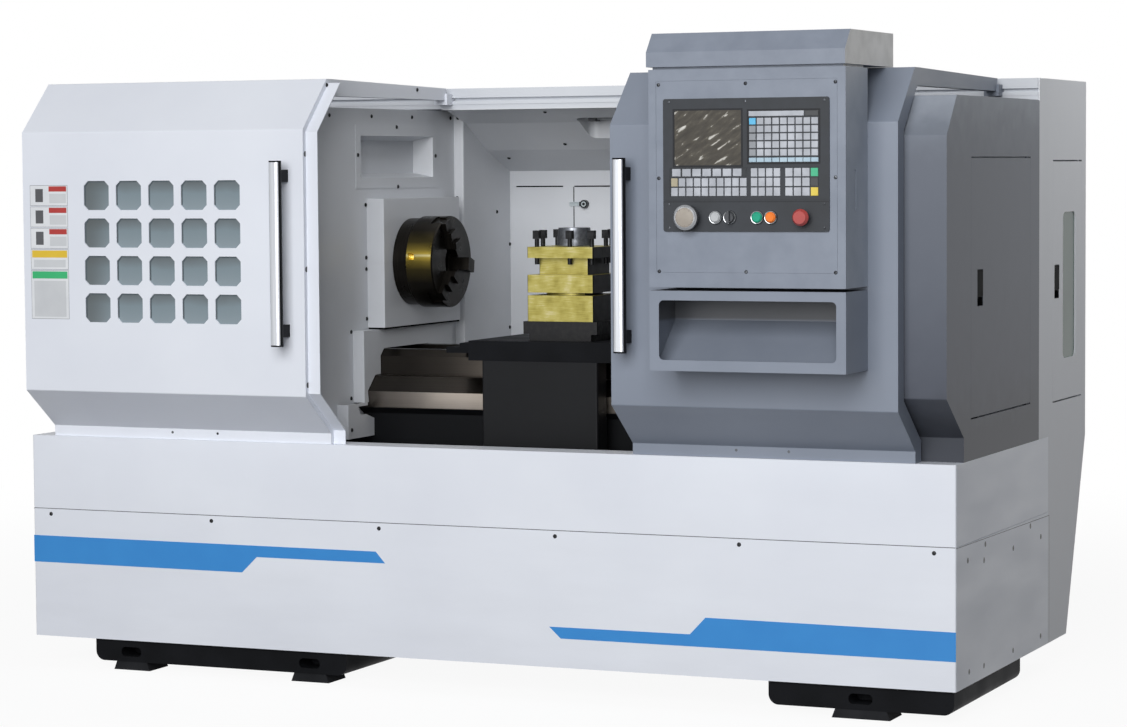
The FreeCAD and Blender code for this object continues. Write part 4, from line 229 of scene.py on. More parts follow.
def vinyl(name, dark, light, roughness):
    """Cut self-adhesive film: even colour, glossy, with a faint ripple from laying."""
    material, spot = blank(name)
    cloud = pattern(material, spot, 90, 3.0)
    return surface(material, shades(material, cloud, 0.3, 0.7, dark, light), roughness,
                   (cloud, 0.1, 0.4), ior=1.48)


blue_film = vinyl("blue cut vinyl film", "#2E83CA", "#3288CE", 0.32)
stripes = bmesh.new()
for outline in (LEFT_STRIPE, RIGHT_STRIPE):
    plate(stripes, [place(x, -FILM, z) for x, z in outline], (0, FILM, 0))
piece("skirt_stripes", stripes, blue_film, "frame")

# Black pan-head screws with a socket hold the sheets to the frame behind them, and the
# end sheets have flush ones.
PAN_HEAD = ((0, 0.9), (2.5, 0.9), (2.8, 2.7), (4.1, 2.4), (5.1, 1.4), (5.5, 0.2), (5.5, -1), (0, -1))
FLUSH_HEAD = ((0, 0.04), (2.8, 0.04), (3.0, 0.1), (6.6, 0.1), (7.2, 0.04), (7.2, -1), (0, -1))
FRONT, RIGHT, LEFT = Vector((0, -1, 0)), Vector((1, 0, 0)), Vector((-1, 0, 0))
SKIRT_SCREWS_X = (56, 560, 1062, 1564, 2063, 2565)
SIDE_SCREWS = [(y, z) for y in (240, 505, 770) for z in (30, 293)]
SIDE_SCREWS += [(100, 309), (112, 34), (251, 332), (668, 332)]


def turned(mesh, profile, spot, facing, sides=20):
    """Adds a turned shape: (radius, height) in mm from its front pole to its back pole."""
    aim = facing.to_track_quat("Z", "Y").to_matrix()
    rings = []
    for radius, height in profile:
        count = sides if radius else 1
        rings.append([mesh.verts.new(spot + aim @ Vector((
            radius * math.cos(i * math.tau / count),
            radius * math.sin(i * math.tau / count), height)) / 1000) for i in range(count)])
    for near, far in zip(rings, rings[1:]):
        for i in range(sides):
            j = i + 1
            corners = (near[i % len(near)], near[j % len(near)], far[j % len(far)], far[i % len(far)])
            mesh.faces.new(list(dict.fromkeys(corners)))


def oxide(name, dark, light, roughness, metallic):
    """Blackened steel: a thin matt oxide that lets the metal through on worn spots."""
    material, spot = blank(name)
    worn = pattern(material, spot, 11, 6.0)
    rough = node(material, "MapRange", {
        "Value": worn, "From Min": 0.35, "From Max": 0.7,
        "To Min": roughness + 0.1, "To Max": roughness - 0.08})
    return surface(material, shades(material, worn, 0.42, 0.72, dark, light), rough,
                   (worn, 0.15, 0.2), metal=metallic)


black_screw = oxide("blackened screw steel", "#141416", "#3C3D40", 0.42, 0.6)


def screws(name, spots, facing, head=PAN_HEAD, material=black_screw, body="frame"):
    """One piece of like screws at (x, y, z) spots in machine mm."""
    mesh = bmesh.new()
    for spot in spots:
        turned(mesh, head, place(*spot), facing, 16)
    return piece(name, mesh, material, body)


screws("skirt_front_screws", [(x, 0, 336) for x in SKIRT_SCREWS_X], FRONT)
screws("skirt_right_screws", [(SKIRT_END, y, z) for y, z in SIDE_SCREWS], RIGHT, FLUSH_HEAD)
screws("skirt_left_screws", [(0, y, z) for y, z in SIDE_SCREWS], LEFT, FLUSH_HEAD)

# The front and end sheets lap over the base; a thin line of grey sealant shows along
# each lap.
LAP_FRONT, LAP_REAR, LAP_LINE = (2, 348), (854, 340), 1.6  # mm; (y, z) of its ends, its width
SEAM_X, SEAM_Z = (2, 2618), (350, 352)  # mm; the line across the front
PROUD, SUNK = 0.05, 0.6  # mm; how far the sealant stands out, its whole thickness


def oblong(x, y, z):
    """Corners of a rectangle: two of x, y and z are spans in mm, the third is one value."""
    ends = [span if isinstance(span, tuple) else (span, span) for span in (x, y, z)]
    tall = 2 if isinstance(z, tuple) else 1
    return [place(*[end[j if axis == tall else i] for axis, end in enumerate(ends)])
            for i, j in ((0, 0), (1, 0), (1, 1), (0, 1))]


laps = bmesh.new()
for x, inward in ((-PROUD, SUNK), (SKIRT_END + PROUD, -SUNK)):
    rim = ((LAP_FRONT, 0), (LAP_REAR, 0), (LAP_REAR, LAP_LINE), (LAP_FRONT, LAP_LINE))
    plate(laps, [place(x, y, z + up) for (y, z), up in rim], (inward, 0, 0))
    plate(laps, oblong(x, (LAP_REAR[0], LAP_REAR[0] + LAP_LINE), (2, LAP_REAR[1])), (inward, 0, 0))
plate(laps, oblong(SEAM_X, -PROUD, SEAM_Z), (0, SUNK, 0))
piece("lap_sealant", laps, vinyl("grey sealant", "#505256", "#5C5E62", 0.6), "frame")

# ------------ fixed covers
# The sheet covers over the headstock and the tailstock end, folded from 3 mm steel.
# The left one is white like the base and ends a little inside it.  The right one has the doors' blue-grey
# powder coat with painted shade: darker overall, and darker still towards the floor.
COVER_INSET = 0.052  # m; the left cover's end stands in from the skirt's end
COVER_LIP = 0.030  # m; everything within this of its end moves with it
WANDER = 0.02  # m; how far each shade wanders up and down
reshaped("left_cover_sheet", "left_fixed_cover", white_powder,
         lambda corner: corner.x < skirt_corner.x + COVER_LIP, COVER_INSET)


def coat_by_height(name, stops, roughness, gloss):
    """Powder coat whose colour follows height, darker towards the floor as painted shade: (height in the
    frame in m, hex colour) stops.
    """
    material, spot = blank(name)
    cloud = pattern(material, spot, 60, 6.0)
    peel = pattern(material, spot, PEEL, 2.0)
    drift = node(material, "MapRange", {
        "Value": cloud, "From Min": 0.3, "From Max": 0.7, "To Min": -WANDER, "To Max": WANDER})
    up = node(material, "SeparateXYZ", {"Vector": spot}).outputs["Z"]
    level = node(material, "Math", {0: up, 1: drift})
    heights, codes = zip(*stops)
    low, high = heights[0], heights[-1]
    colour = shades(material, level, low, high, *codes, at=[(z - low) / (high - low) for z in heights])
    return surface(material, colour, roughness, (peel, 0.12, 0.2), gloss)


shaded_blue_grey = coat_by_height("blue-grey powder coat with painted shade", (
    (0.7, "#40434A"), (0.833, "#545862"), (1.083, "#636872"), (1.36, "#6C717B"), (1.44, "#787E88"),
    (1.521, "#949AA4")), 0.42, 0.15)
dress(shaded_blue_grey, "right_fixed_cover")

# ------------ rear housing and top rail
# The housing closes the back, and the extruded rail on its front edge carries the rollers of the sliding
# doors.  The housing is white, darker towards the floor as painted shade, and the rail grey.
white_shaded_low = coat_by_height("white powder coat, painted shade below", (
    (0.083, "#BFC2C8"), (0.6, "#C6C9CF"), (0.95, "#D1D4DA"), (1.25, "#DADDE2"), (1.57, "#E6E9EE")), 0.42, 0.5)
dress(white_shaded_low, "rear_housing")
dress(powder_coat("pale grey powder coat on aluminium", "#C6CAD1", "#CFD3D9", "#C9C8C6", 0.45), "top_rail")

# ------------ lamp panel and work lamp
# Folded white sheet behind the work, with a sunk lamp in its sloping part.  The lamp is a frosted acrylic
# tube between two grey end blocks; it is off.  Every white sheet around the work is painted darker than the
# outside, as painted shade.
shaded_inner_white = powder_coat("white powder coat, painted shade inside", "#CBCED3", "#D3D6DB", "#B9B8B5", 0.42)
dress(shaded_inner_white, "lamp_panel")
lamp_lo, lamp_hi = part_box("work_lamp")
LAMP_END = 0.024  # m; length of the end blocks


def lamp_finish():
    """Frosted acrylic in the middle, moulded grey plastic at both ends."""
    material, spot = blank("frosted acrylic lamp tube")
    along = node(material, "SeparateXYZ", {"Vector": spot}).outputs["X"]
    tube = node(material, "Math", {
        0: along, 1: (lamp_lo[0] + lamp_hi[0]) / 2, 2: (lamp_hi[0] - lamp_lo[0]) / 2 - LAMP_END},
        operation="COMPARE")
    frost = pattern(material, spot, 4, 3.0)
    colour = node(material, "Mix", {
        "Factor": tube, "A": linear("#4A4C50"),
        "B": shades(material, frost, 0.3, 0.7, "#8E9195", "#A4A7AA")}, data_type="RGBA")
    return surface(material, colour, 0.32, (frost, 0.2, 0.2), ior=1.49)


dress(lamp_finish(), "work_lamp")
# One screw holds each sloping fold to the frame above it, square to the sheet.
for number, spot, slope in ((1, (1184.7, 804.5, 1426.8), (0, -36, -125)),
                            (2, (1154.2, 1011.2, 1338.4), (0, -77, -140)),
                            (3, (936.2, 1099.3, 1300.0), (0, -60, -159))):
    screws("lamp_panel_screw_%d" % number, [spot], Vector(slope).normalized())
# Black foam rubber closes the two long slots over the access door, and a black edge
# strip covers the cut edge beside it.
STRIP = 0.5  # mm; thickness of foam and rubber strips
SLOTS = (((912.3, 1063.7), 1200.8, (1214.3, 1217.7)), ((1100.3, 1397.7), 1200.8, (1214.4, 1217.7)),
         ((1096.6, 1099.0), 1199.8, (800, 1214)))
foam = bmesh.new()
for x, y, z in SLOTS:
    plate(foam, oblong(x, y, z), (0, STRIP, 0))
black_foam = enamel("black foam rubber", "#0B0B0C", "#111112", 3, 0.8, 0.05)
piece("access_door_seals", foam, black_foam, "frame")

# ------------ headstock wall and covers
# White sheets between the headstock and the work: the stepped wall, the pressed recess,
# the two-part cover around the spindle nose, and the guard over the ways.  Black screws
# stand in rows along their folds.
# These white sheets take the same painted shade as the lamp panel.
dress(shaded_inner_white, "headstock_wall", "viewing_box", "headstock_cover", "way_guard")
WALL_SCREWS = ((126, 1414), (369, 1414), (614, 1414), (859, 1414), (328, 1174), (328, 1031),
               (328, 1000), (328, 865), (236, 834), (232, 655))
RECESS_SCREWS = ((516, 1386), (284, 1309), (758, 1307), (521, 1222))
screws("wall_screws", [(863, y, z) for y, z in WALL_SCREWS], RIGHT)
screws("recess_screws", [(864.5, y, z) for y, z in RECESS_SCREWS], RIGHT)
screws("rear_wall_screws", [(892, y, z) for y, z in ((1107, 1143), (1195, 1046), (1190, 800))], RIGHT)
screws("step_screws", [(876, 883, 1415), (871, 883, 1186)], FRONT)
# The seam between the headstock cover and the way guard is closed by black foam.
seam = bmesh.new()
plate(seam, oblong((864, 913), (337, 803), 836.4), (0, 0, 4.2))
piece("cover_seam_seal", seam, black_foam, "frame")
screws("guard_screws", [(896, 171, 575)], RIGHT)

# ------------ bed, screw and servo
# Grey-iron bed: ways and flanks ground along the machine and left bare under a film of oil, the casting below
# them painted black.  Grinding leaves long fine streaks that stretch the reflections lengthwise.  The bare
# iron is dark and oiled at the left end and turns light towards the middle, a painted reflection that is
# strongest on the lower flank.
BARE_ABOVE = 0.711  # m; the paint ends under the lower flank of the bed
FLANK_TOP = 0.756  # m; above it the ways are darker, and their painted reflection weaker
FLANK_SHEEN = (-0.44, -0.30)  # m along X; dark oiled iron before the first, full painted reflection after the second
WAYS_SHEEN = (-0.34, -0.02)  # m along X, in the same way


def ground_metal(name, dark, light, streak_mm, roughness):
    """Bare cut metal; streak_mm is the length of its tool marks along X, Y and Z."""
    material, spot = blank(name)
    marks = pattern(material, spot, streak_mm, 4.0)
    film = pattern(material, spot, 160, 4.0)
    both = node(material, "Mix", {"Factor": 0.45, "A": marks, "B": film})
    return surface(material, shades(material, both, 0.38, 0.62, dark, light),
                   (marks, roughness - 0.07, roughness + 0.1), (marks, 0.15, 0.1), metal=1.0)


def two_tone(material, factor, grain, span, first, second):
    """Two shaded finishes over one pattern: the first where factor is 0, the second at 1."""
    first, second = [shades(material, grain, *span, *codes) for codes in (first, second)]
    return node(material, "Mix", {"Factor": factor, "A": first, "B": second}, data_type="RGBA")


def bed_finish():
    """Ground iron above the paint line, black machine enamel below it."""
    material, spot = blank("ground and painted grey iron")
    marks = pattern(material, spot, (700, 1.3, 1.3), 4.0)
    film = pattern(material, spot, 300, 2.0)
    both = node(material, "Mix", {"Factor": 0.7, "A": marks, "B": film})
    parts = node(material, "SeparateXYZ", {"Vector": spot})
    bare, high = [node(material, "Math", {0: parts.outputs["Z"], 1: level}, operation="GREATER_THAN")
                  for level in (BARE_ABOVE, FLANK_TOP)]
    iron = []
    # Dark oiled iron at the left end; the light colours towards the middle are a painted reflection.
    for (start, end), oiled, sheen in ((FLANK_SHEEN, ("#3A3632", "#4C4742"), ("#C2B6A9", "#D8CDC1")),
                                       (WAYS_SHEEN, ("#33302D", "#3F3B37"), ("#57514B", "#6E6760"))):
        sheen_amount = node(material, "MapRange", {
            "Value": parts.outputs["X"], "From Min": start, "From Max": end}, interpolation_type="SMOOTHSTEP")
        iron.append(two_tone(material, sheen_amount, both, (0.38, 0.62), oiled, sheen))
    metal = node(material, "Mix", {"Factor": high, "A": iron[0], "B": iron[1]}, data_type="RGBA")
    colour = node(material, "Mix", {"Factor": bare, "A": linear("#141517"), "B": metal}, data_type="RGBA")
    rough = node(material, "MapRange", {"Value": bare, "To Min": 0.46, "To Max": 0.3})
    return surface(material, colour, rough, (marks, 0.15, 0.2), 0.06, metal=bare)


dress(bed_finish(), "bed")
turned_steel = ground_metal("turned bright steel", "#8C8E90", "#C4C6C8", (1.2, 60, 60), 0.26)
dress(turned_steel, "carriage_screw")
dress(enamel("grey motor lacquer", "#3C4046", "#4A4E55", 5, 0.45), "carriage_servo", "main_motor")

# ------------ headstock
# Iron headstock casting in black enamel, with the turned spindle, its bearings and the
# belt pulley.  Almost all of it stays behind the covers.
dress(black_enamel, "headstock_housing")
dress(turned_steel, "spindle", "spindle_bearings", "motor_pulley")

# ------------ chuck
# Three-jaw scroll chuck, turned and ground from cast iron, nearly black.  A gold band on one side of the rim,
# brightest a little above the operator's side, and on a jaw is a painted highlight.
chuck_lo, chuck_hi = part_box("chuck_body")
chuck_mid = (Vector(chuck_lo) + Vector(chuck_hi)) / 2
HIGHLIGHT_MID, HIGHLIGHT_HALF = 0.0185, 0.038  # m; the part of the rim with the painted highlight, from the chuck's middle
HIGHLIGHT_TURN = 0.16  # radians; where the painted highlight is brightest, up from the operator's side


def highlighted_chuck_iron():
    """Dark ground iron in rings from the lathe, with a painted gold highlight on one side of the rim."""
    material, spot = blank("ground chuck iron with a painted gold highlight")
    marks = pattern(material, spot, (1.4, 60, 60), 3.0)
    smear = pattern(material, spot, 55, 6.0)
    off = node(material, "VectorMath", {0: spot, 1: chuck_mid}, operation="SUBTRACT")
    parts = node(material, "SeparateXYZ", {"Vector": off})
    near = node(material, "Math", {0: parts.outputs["Y"], 1: -1.0}, operation="MULTIPLY")
    turn = node(material, "Math", {0: parts.outputs["Z"], 1: near}, operation="ARCTAN2")
    tilt = node(material, "Math", {0: turn, 1: HIGHLIGHT_TURN}, operation="SUBTRACT")
    away = node(material, "Math", {0: tilt}, operation="ABSOLUTE")
    rim = node(material, "Math", {
        0: parts.outputs["X"], 1: HIGHLIGHT_MID, 2: HIGHLIGHT_HALF}, operation="COMPARE")
    # A painted highlight: pale gold at its brightest angle, fading to dark iron around the rim.
    highlight_band = shades(material, away, 0.0, 0.62, "#F0E4A6", "#C8AD48", "#8C7A36", "#4A4226", "#272420",
                    at=(0, 0.07, 0.2, 0.5, 1))
    colour = node(material, "Mix", {
        "Factor": rim, "A": shades(material, marks, 0.35, 0.65, "#181614", "#2B2824"),
        "B": highlight_band}, data_type="RGBA")
    return surface(material, colour, (smear, 0.24, 0.42), (marks, 0.2, 0.1), metal=0.9)


dress(highlighted_chuck_iron(), "chuck_body", "chuck_jaw_1", "chuck_jaw_2", "chuck_jaw_3")
# Socket-head screws hold the chuck to its back plate, sunk between the jaws.
CHUCK_SCREW_RING = 88.0  # mm; radius
CAP_HEAD = ((0, -3.5), (4.0, -3.5), (4.2, 0.4), (7.0, 0.5), (7.6, -0.2), (7.6, -2), (0, -2.5))
chuck_turns = [math.radians(turn) for turn in (322, 82, 202)]
screws("chuck_screws", [
    (1038, 500 + CHUCK_SCREW_RING * math.cos(turn), 1016 + CHUCK_SCREW_RING * math.sin(turn))
    for turn in chuck_turns], RIGHT, CAP_HEAD, body="spindle")

# ------------ carriage
# Cast saddle in black enamel with scraped sliding faces, and a folded black sheet
# apron in front of it.
dress(black_enamel, "saddle")
dress(powder_coat("black satin powder coat", "#111214", "#16171A", "#1B1C1C", 0.5, 0.15), "apron_cover")
dress(oxide("blackened slide steel", "#1D1D1F", "#252525", 0.42, 0.7), "cross_slide")

# ------------ tool turret
# Square turret of hardened steel with a yellow zinc passivation: pale gold with a tint of green, cloudy from
# the bath.  The side away from the chuck is painted near-black as painted shade, and the cap and the
# square-head bolts are blackened.


def rightward(material):
    """How far the surface faces to the right, from -1 to 1."""
    facing = node(material, "TexCoord").outputs["Normal"]
    return node(material, "SeparateXYZ", {"Vector": facing}).outputs["X"]


def passivated(name):
    """Yellow chromate over ground steel, with painted shade in near-black on the right-facing side."""
    material, spot = blank(name)
    cloud = pattern(material, spot, 34, 5.0)
    marks = pattern(material, spot, (30, 30, 1.5), 3.0)
    both = node(material, "Mix", {"Factor": 0.6, "A": marks, "B": cloud})
    gold = shades(material, both, 0.36, 0.66, "#8F843C", "#A2974A", "#AEA45E", "#BDB484",
                  at=(0, 0.35, 0.7, 1))
    # The right-facing side is painted near-black, as painted shade.
    black = node(material, "Math", {0: rightward(material), 1: 0.7}, operation="GREATER_THAN")
    colour = node(material, "Mix", {"Factor": black, "A": gold, "B": linear("#1E1E1F")}, data_type="RGBA")
    return surface(material, colour, (cloud, 0.3, 0.46), (marks, 0.12, 0.1), metal=0.5)


dress(passivated("yellow passivated steel"), "turret_base", "turret_head")
dress(oxide("blackened bolt steel", "#0C0D0F", "#26272A", 0.4, 0.6), "tool_bolts")
dress(oxide("blued cap steel", "#63666C", "#85888E", 0.42, 0.9), "turret_cap")

# ------------ tailstock
# Black enamelled casting with a bright ground quill and a polished steel handwheel.
dress(black_enamel, "tailstock_body")
dress(turned_steel, "tailstock_quill")
polished = ground_metal("polished handwheel steel", "#9A9C9E", "#D0D2D4", (30, 30, 30), 0.16)
dress(polished, "tailstock_handwheel")

# ------------ left door
# Sliding door folded from white sheet, with twenty bevelled windows in front of one
# tinted sheet of polycarbonate.  Screws stand along its right edge and its foot.
dress(white_powder, "left_door")
pane_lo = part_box("left_door_pane")[0]
CELL, PITCH, CHAMFER = 77.0, 99.2, 13.0  # mm; a window, the step to the next, its cut corners
COLUMNS, ROWS = 5, 4
SHADOW_STRIP, PANE_BORDER = 3.6, 26.0  # mm; the painted shadow strip, and the sheet around the outer windows
SHADED_END = (0.03, 0.13)  # m from the sheet's left end; painted shade fades out between them


def pane_finish():
    """Tinted sheet with painted shade: darker to the top of each window and to the left end."""
    material, spot = blank("grey-green polycarbonate")
    parts = node(material, "SeparateXYZ", {"Vector": spot})
    foot = pane_lo[2] + PANE_BORDER / 1000
    count = node(material, "MapRange", {
        "Value": parts.outputs["Z"], "From Min": foot, "From Max": foot + PITCH / 1000}, clamp=False)
    rise = node(material, "Math", {0: count}, operation="FRACT")
    drift = pattern(material, spot, 90, 2.0)
    loose = node(material, "MapRange", {"Value": drift, "To Min": -0.12, "To Max": 0.12})
    level = node(material, "Math", {0: rise, 1: loose})
    end = node(material, "MapRange", {
        "Value": parts.outputs["X"], "From Min": pane_lo[0] + SHADED_END[0],
        "From Max": pane_lo[0] + SHADED_END[1], "To Min": 0.75, "To Max": 0.0},
        interpolation_type="SMOOTHSTEP")
    tint = shades(material, level, 0.0, 0.8, "#84929A", "#76868E", "#68747A", "#555D61",
                  at=(0, 0.55, 0.75, 1))
    colour = node(material, "Mix", {"Factor": end, "A": tint, "B": linear("#474D4E")}, data_type="RGBA")
    return surface(material, colour, 0.2, ior=1.58)


dress(pane_finish(), "left_door_pane")
# A dark strip along the top and the left edge of each window is painted shadow of the sheet on the pane.
first_cell = (Vector(pane_lo) - skirt_corner) * 1000 + Vector((PANE_BORDER, 0, PANE_BORDER))
SHADOW_OUTLINE = ((CELL - CHAMFER, CELL), (CHAMFER, CELL), (0, CELL - CHAMFER), (0, CHAMFER), (SHADOW_STRIP, CHAMFER),
           (SHADOW_STRIP, CELL - CHAMFER - SHADOW_STRIP), (CHAMFER, CELL - SHADOW_STRIP), (CELL - CHAMFER, CELL - SHADOW_STRIP))
shadow_strips = bmesh.new()
for i in range(COLUMNS):
    for j in range(ROWS):
        left, foot = first_cell.x + i * PITCH, first_cell.z + j * PITCH
        corners = [place(left + x, first_cell.y - STRIP, foot + z) for x, z in SHADOW_OUTLINE]
        plate(shadow_strips, corners, (0, STRIP, 0))
piece("window_painted_shadow", shadow_strips, vinyl("dark painted window shadow", "#424C52", "#4C575D", 0.7),
      "left_door")

SMALL_FLUSH = ((0, 0.04), (1.5, 0.04), (1.7, 0.1), (3.2, 0.1), (3.6, 0.04), (3.6, -1), (0, -1))
grey_screw = oxide("dulled zinc screw", "#2E3034", "#6A6D72", 0.4, 0.8)
screws("left_door_edge_screws", [(921, -117, z) for z in (1311, 1014, 715)], RIGHT, FLUSH_HEAD,
       body="left_door")
screws("left_door_arm_screws", [(921, 5, 1490), (921, 532, 1488)], RIGHT, body="left_door")
screws("left_door_foot_screws", [(440, 7, 570), (579, 7, 570)], FRONT, SMALL_FLUSH, grey_screw, "left_door")

# A column of plain film labels: white cards with coloured heads and nothing written.
LABEL_X, LABEL_Y = (92, 208), -129  # mm; sides of the cards, and the sheet they are stuck on
LABELS = ((1180, 1233, "red"), (1123, 1176, "red"), (1066, 1119, "red"),
          (1010, 1062, "yellow"), (878, 1006, "green"))
HEAD_HEIGHT = {"red": 14, "yellow": 19, "green": 19}
LABEL_COLOURS = (
    ("red", "red label film", "#A5302E", "#B03A36"),
    ("yellow", "yellow label film", "#D8B431", "#E0BE3E"),
    ("green", "green label film", "#2FA868", "#3AB374"),
    ("white", "white label film", "#D9DCE0", "#E3E5E8"),
    ("pale", "pale grey label film", "#C3C6CA", "#CDD0D3"),
    ("dark", "dark grey label film", "#4A4B4E", "#55565A"),
    ("outline", "grey printed outline", "#7C7F84", "#84878C"))
label_films = {name: vinyl(film, dark, light, 0.4) for name, film, dark, light in LABEL_COLOURS}
cards = {film: bmesh.new() for film in label_films}
for low, top, colour in LABELS:
    left, right = LABEL_X
    head = (top - HEAD_HEIGHT[colour] - 2, top - 2)
    films = [("outline", (left - 1, right + 1), (low - 1, top + 1), 0.15),
             ("white", LABEL_X, (low, top), 0.3)]
    if colour == "red":
        films += [(colour, (150, right - 3), head, 0.5), ("dark", (108, 132), (low + 9, top - 9), 0.5),
                  ("pale", (152, right - 4), (low + 6, top - 22), 0.5)]
    else:
        films += [(colour, (left + 3, right - 3), head, 0.5),
                  ("pale", (left + 8, right - 8), (low + 5, top - 27), 0.5)]
    for film, x, z, lift in films:
        plate(cards[film], oblong(x, LABEL_Y - lift, z), (0, lift, 0), 0.15)
for film, mesh in cards.items():
    piece("label_" + film, mesh, label_films[film], "left_door")

# ------------ door handles
# Extruded aluminium bars, clear anodised with a fine upright brush, between black nylon end caps and on two
# black die-cast blocks.  The edge that faces right is painted black, as painted shade.
handle_lo, handle_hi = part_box("left_door_handle")
END_CAP = 0.004  # m; thickness of the caps
BLOCKS_BEHIND = -0.6175  # m; the blocks start behind the bar


def handle_finish():
    """Brushed clear anodising on the bar, black on the end caps and blocks, and painted shade in black on the
    right edge.
    """
    material, spot = blank("brushed anodised aluminium")
    marks = pattern(material, spot, (1, 1, 300), 3.0)
    parts = node(material, "SeparateXYZ", {"Vector": spot})
    bar = node(material, "Math", {
        0: parts.outputs["Z"], 1: (handle_lo[2] + handle_hi[2]) / 2,
        2: (handle_hi[2] - handle_lo[2]) / 2 - END_CAP}, operation="COMPARE")
    before = node(material, "Math", {0: parts.outputs["Y"], 1: BLOCKS_BEHIND}, operation="LESS_THAN")
    # The edge that faces right is painted black as painted shade.
    face = node(material, "Math", {0: rightward(material), 1: 0.8}, operation="LESS_THAN")
    ahead = node(material, "Math", {0: bar, 1: before}, operation="MULTIPLY")
    bright = node(material, "Math", {0: ahead, 1: face}, operation="MULTIPLY")
    colour = node(material, "Mix", {
        "Factor": bright, "A": linear("#141519"),
        "B": shades(material, marks, 0.35, 0.65, "#B2B5BB", "#CFD2D7")}, data_type="RGBA")
    rough = node(material, "MapRange", {"Value": bright, "To Min": 0.5, "To Max": 0.36})
    gloss = node(material, "MapRange", {"Value": bright, "To Min": 0.1, "To Max": 0.5})
    return surface(material, colour, rough, (marks, 0.08, 0.1), gloss, metal=bright)


dress(handle_finish(), "left_door_handle", "right_door_handle")

# ------------ right door and control box
# The blue-grey door carries the control box, its hood and the pocket below it, all
# welded boxes in the same powder coat.  Dulled cross-head screws hold the front plate.
# The right cheeks of the box and the hood are painted lighter, as painted light.
BLUE_GREY = ("#79818F", "#818997")
dress(powder_coat("blue-grey polyester powder coat", *BLUE_GREY, "#71777F", 0.40), "right_door")


def cheek_painted_lighter(name, *pale):
    """Blue-grey powder coat whose right cheek is painted lighter, as painted light."""
    material, spot = blank(name)
    cloud = pattern(material, spot, 60, 6.0)
    peel = pattern(material, spot, PEEL, 2.0)
    # The right cheek is painted lighter here, as painted light.
    cheek = node(material, "MapRange", {
        "Value": rightward(material), "From Min": 0.75, "From Max": 0.95}, interpolation_type="SMOOTHSTEP")
    coat = two_tone(material, cheek, cloud, (0.35, 0.65), BLUE_GREY, pale)
    return surface(material, coat, 0.40, (peel, 0.12, 0.2))


dress(cheek_painted_lighter("blue-grey powder coat, cheek painted lighter", "#98A1AE", "#A1A9B5"), "control_box")
dress(cheek_painted_lighter("blue-grey powder coat, cheek painted much lighter", "#D2D2D0", "#E8E8E6"), "control_hood")
# The back of the pocket above the shelf is painted dark, as painted shade.
pocket_lo, pocket_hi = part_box("pocket_box")
POCKET_SIDE, POCKET_LIP = 0.001, 0.004  # m; the painted shade stops this far inside the pocket's sides and lip
SHELF = (0.112, 0.122)  # m up from the pocket's foot


def pocket_finish():
    """Blue-grey coat, painted dark deep in the pocket as painted shade."""
    material, spot = blank("blue-grey powder coat, painted shade in the pocket")
    cloud = pattern(material, spot, 200, 4.0)
    peel = pattern(material, spot, PEEL, 2.0)
    parts = node(material, "SeparateXYZ", {"Vector": spot})
    inner = node(material, "Math", {
        0: parts.outputs["Y"], 1: pocket_lo[1] + POCKET_LIP}, operation="GREATER_THAN")
    within = node(material, "Math", {
        0: parts.outputs["X"], 1: (pocket_lo[0] + pocket_hi[0]) / 2,
        2: (pocket_hi[0] - pocket_lo[0]) / 2 - POCKET_SIDE}, operation="COMPARE")
    deep = node(material, "Math", {0: inner, 1: within}, operation="MULTIPLY")
    rise = node(material, "MapRange", {
        "Value": parts.outputs["Z"], "From Min": pocket_lo[2] + SHELF[0],
        "From Max": pocket_lo[2] + SHELF[1], "To Min": 0.12, "To Max": 0.8},
        interpolation_type="SMOOTHSTEP")
    # Painted shade: the coat turns dark deep in the pocket above the shelf.
    thin = node(material, "Math", {0: deep, 1: rise}, operation="MULTIPLY")
    coat = two_tone(material, thin, cloud, (0.35, 0.65), BLUE_GREY, ("#353433", "#403F3E"))
    return surface(material, coat, 0.42, (peel, 0.12, 0.2))


dress(pocket_finish(), "pocket_box")
PLATE_SCREWS = [(x, z) for x in (1972, 2193, 2416) for z in (1466, 1022)] + [(1972, 1244), (2416, 1244)]
SMALL_HEAD = ((0, 0.5), (1.7, 0.5), (1.9, 2.0), (3.4, 1.7), (4.4, 0.6), (4.6, 0), (4.6, -1), (0, -1))
screws("right_door_foot_screws", [(2054, 7, 570), (2192, 7, 570)], FRONT, SMALL_FLUSH,
       grey_screw, "right_door")
screws("plate_screws", [(x, -291, z) for x, z in PLATE_SCREWS], FRONT, SMALL_HEAD,
       grey_screw, "right_door")

# ------------ keyboard panel
# Dark grey aluminium panels with a fine matt texture.  Sunk in them are the screen and
# two keypads with moulded keys, pale silver with a few coloured ones.
PANEL_Y = -295  # mm; front of the panels
PANEL_SCREWS = [(x, z) for x in (2000, 2390) for z in (1424, 1182, 1126)] + [(2193, 1424)]
LOW_HEAD = ((0, 0.3), (1.2, 0.3), (1.4, 1.2), (2.8, 0.8), (3.1, 0), (3.1, -1), (0, -1))


def textured_plastic(name, dark, light, grain_mm, roughness, gloss=0.5):
    """Moulded plastic with a fine spark-eroded grain."""
    material, spot = blank(name)
    grain = pattern(material, spot, grain_mm, 3.0)
    wear = pattern(material, spot, 45, 4.0)
    return surface(material, shades(material, wear, 0.35, 0.65, dark, light),
                   (wear, roughness - 0.05, roughness + 0.06), (grain, 0.15, 0.1), gloss, 1.53)


dress(textured_plastic("matt dark panel", "#303337", "#383B40", 1.5, 0.55, 0.25), "keyboard_panel")
screws("panel_screws", [(x, PANEL_Y, z) for x, z in PANEL_SCREWS], FRONT, LOW_HEAD,
       grey_screw, "right_door")

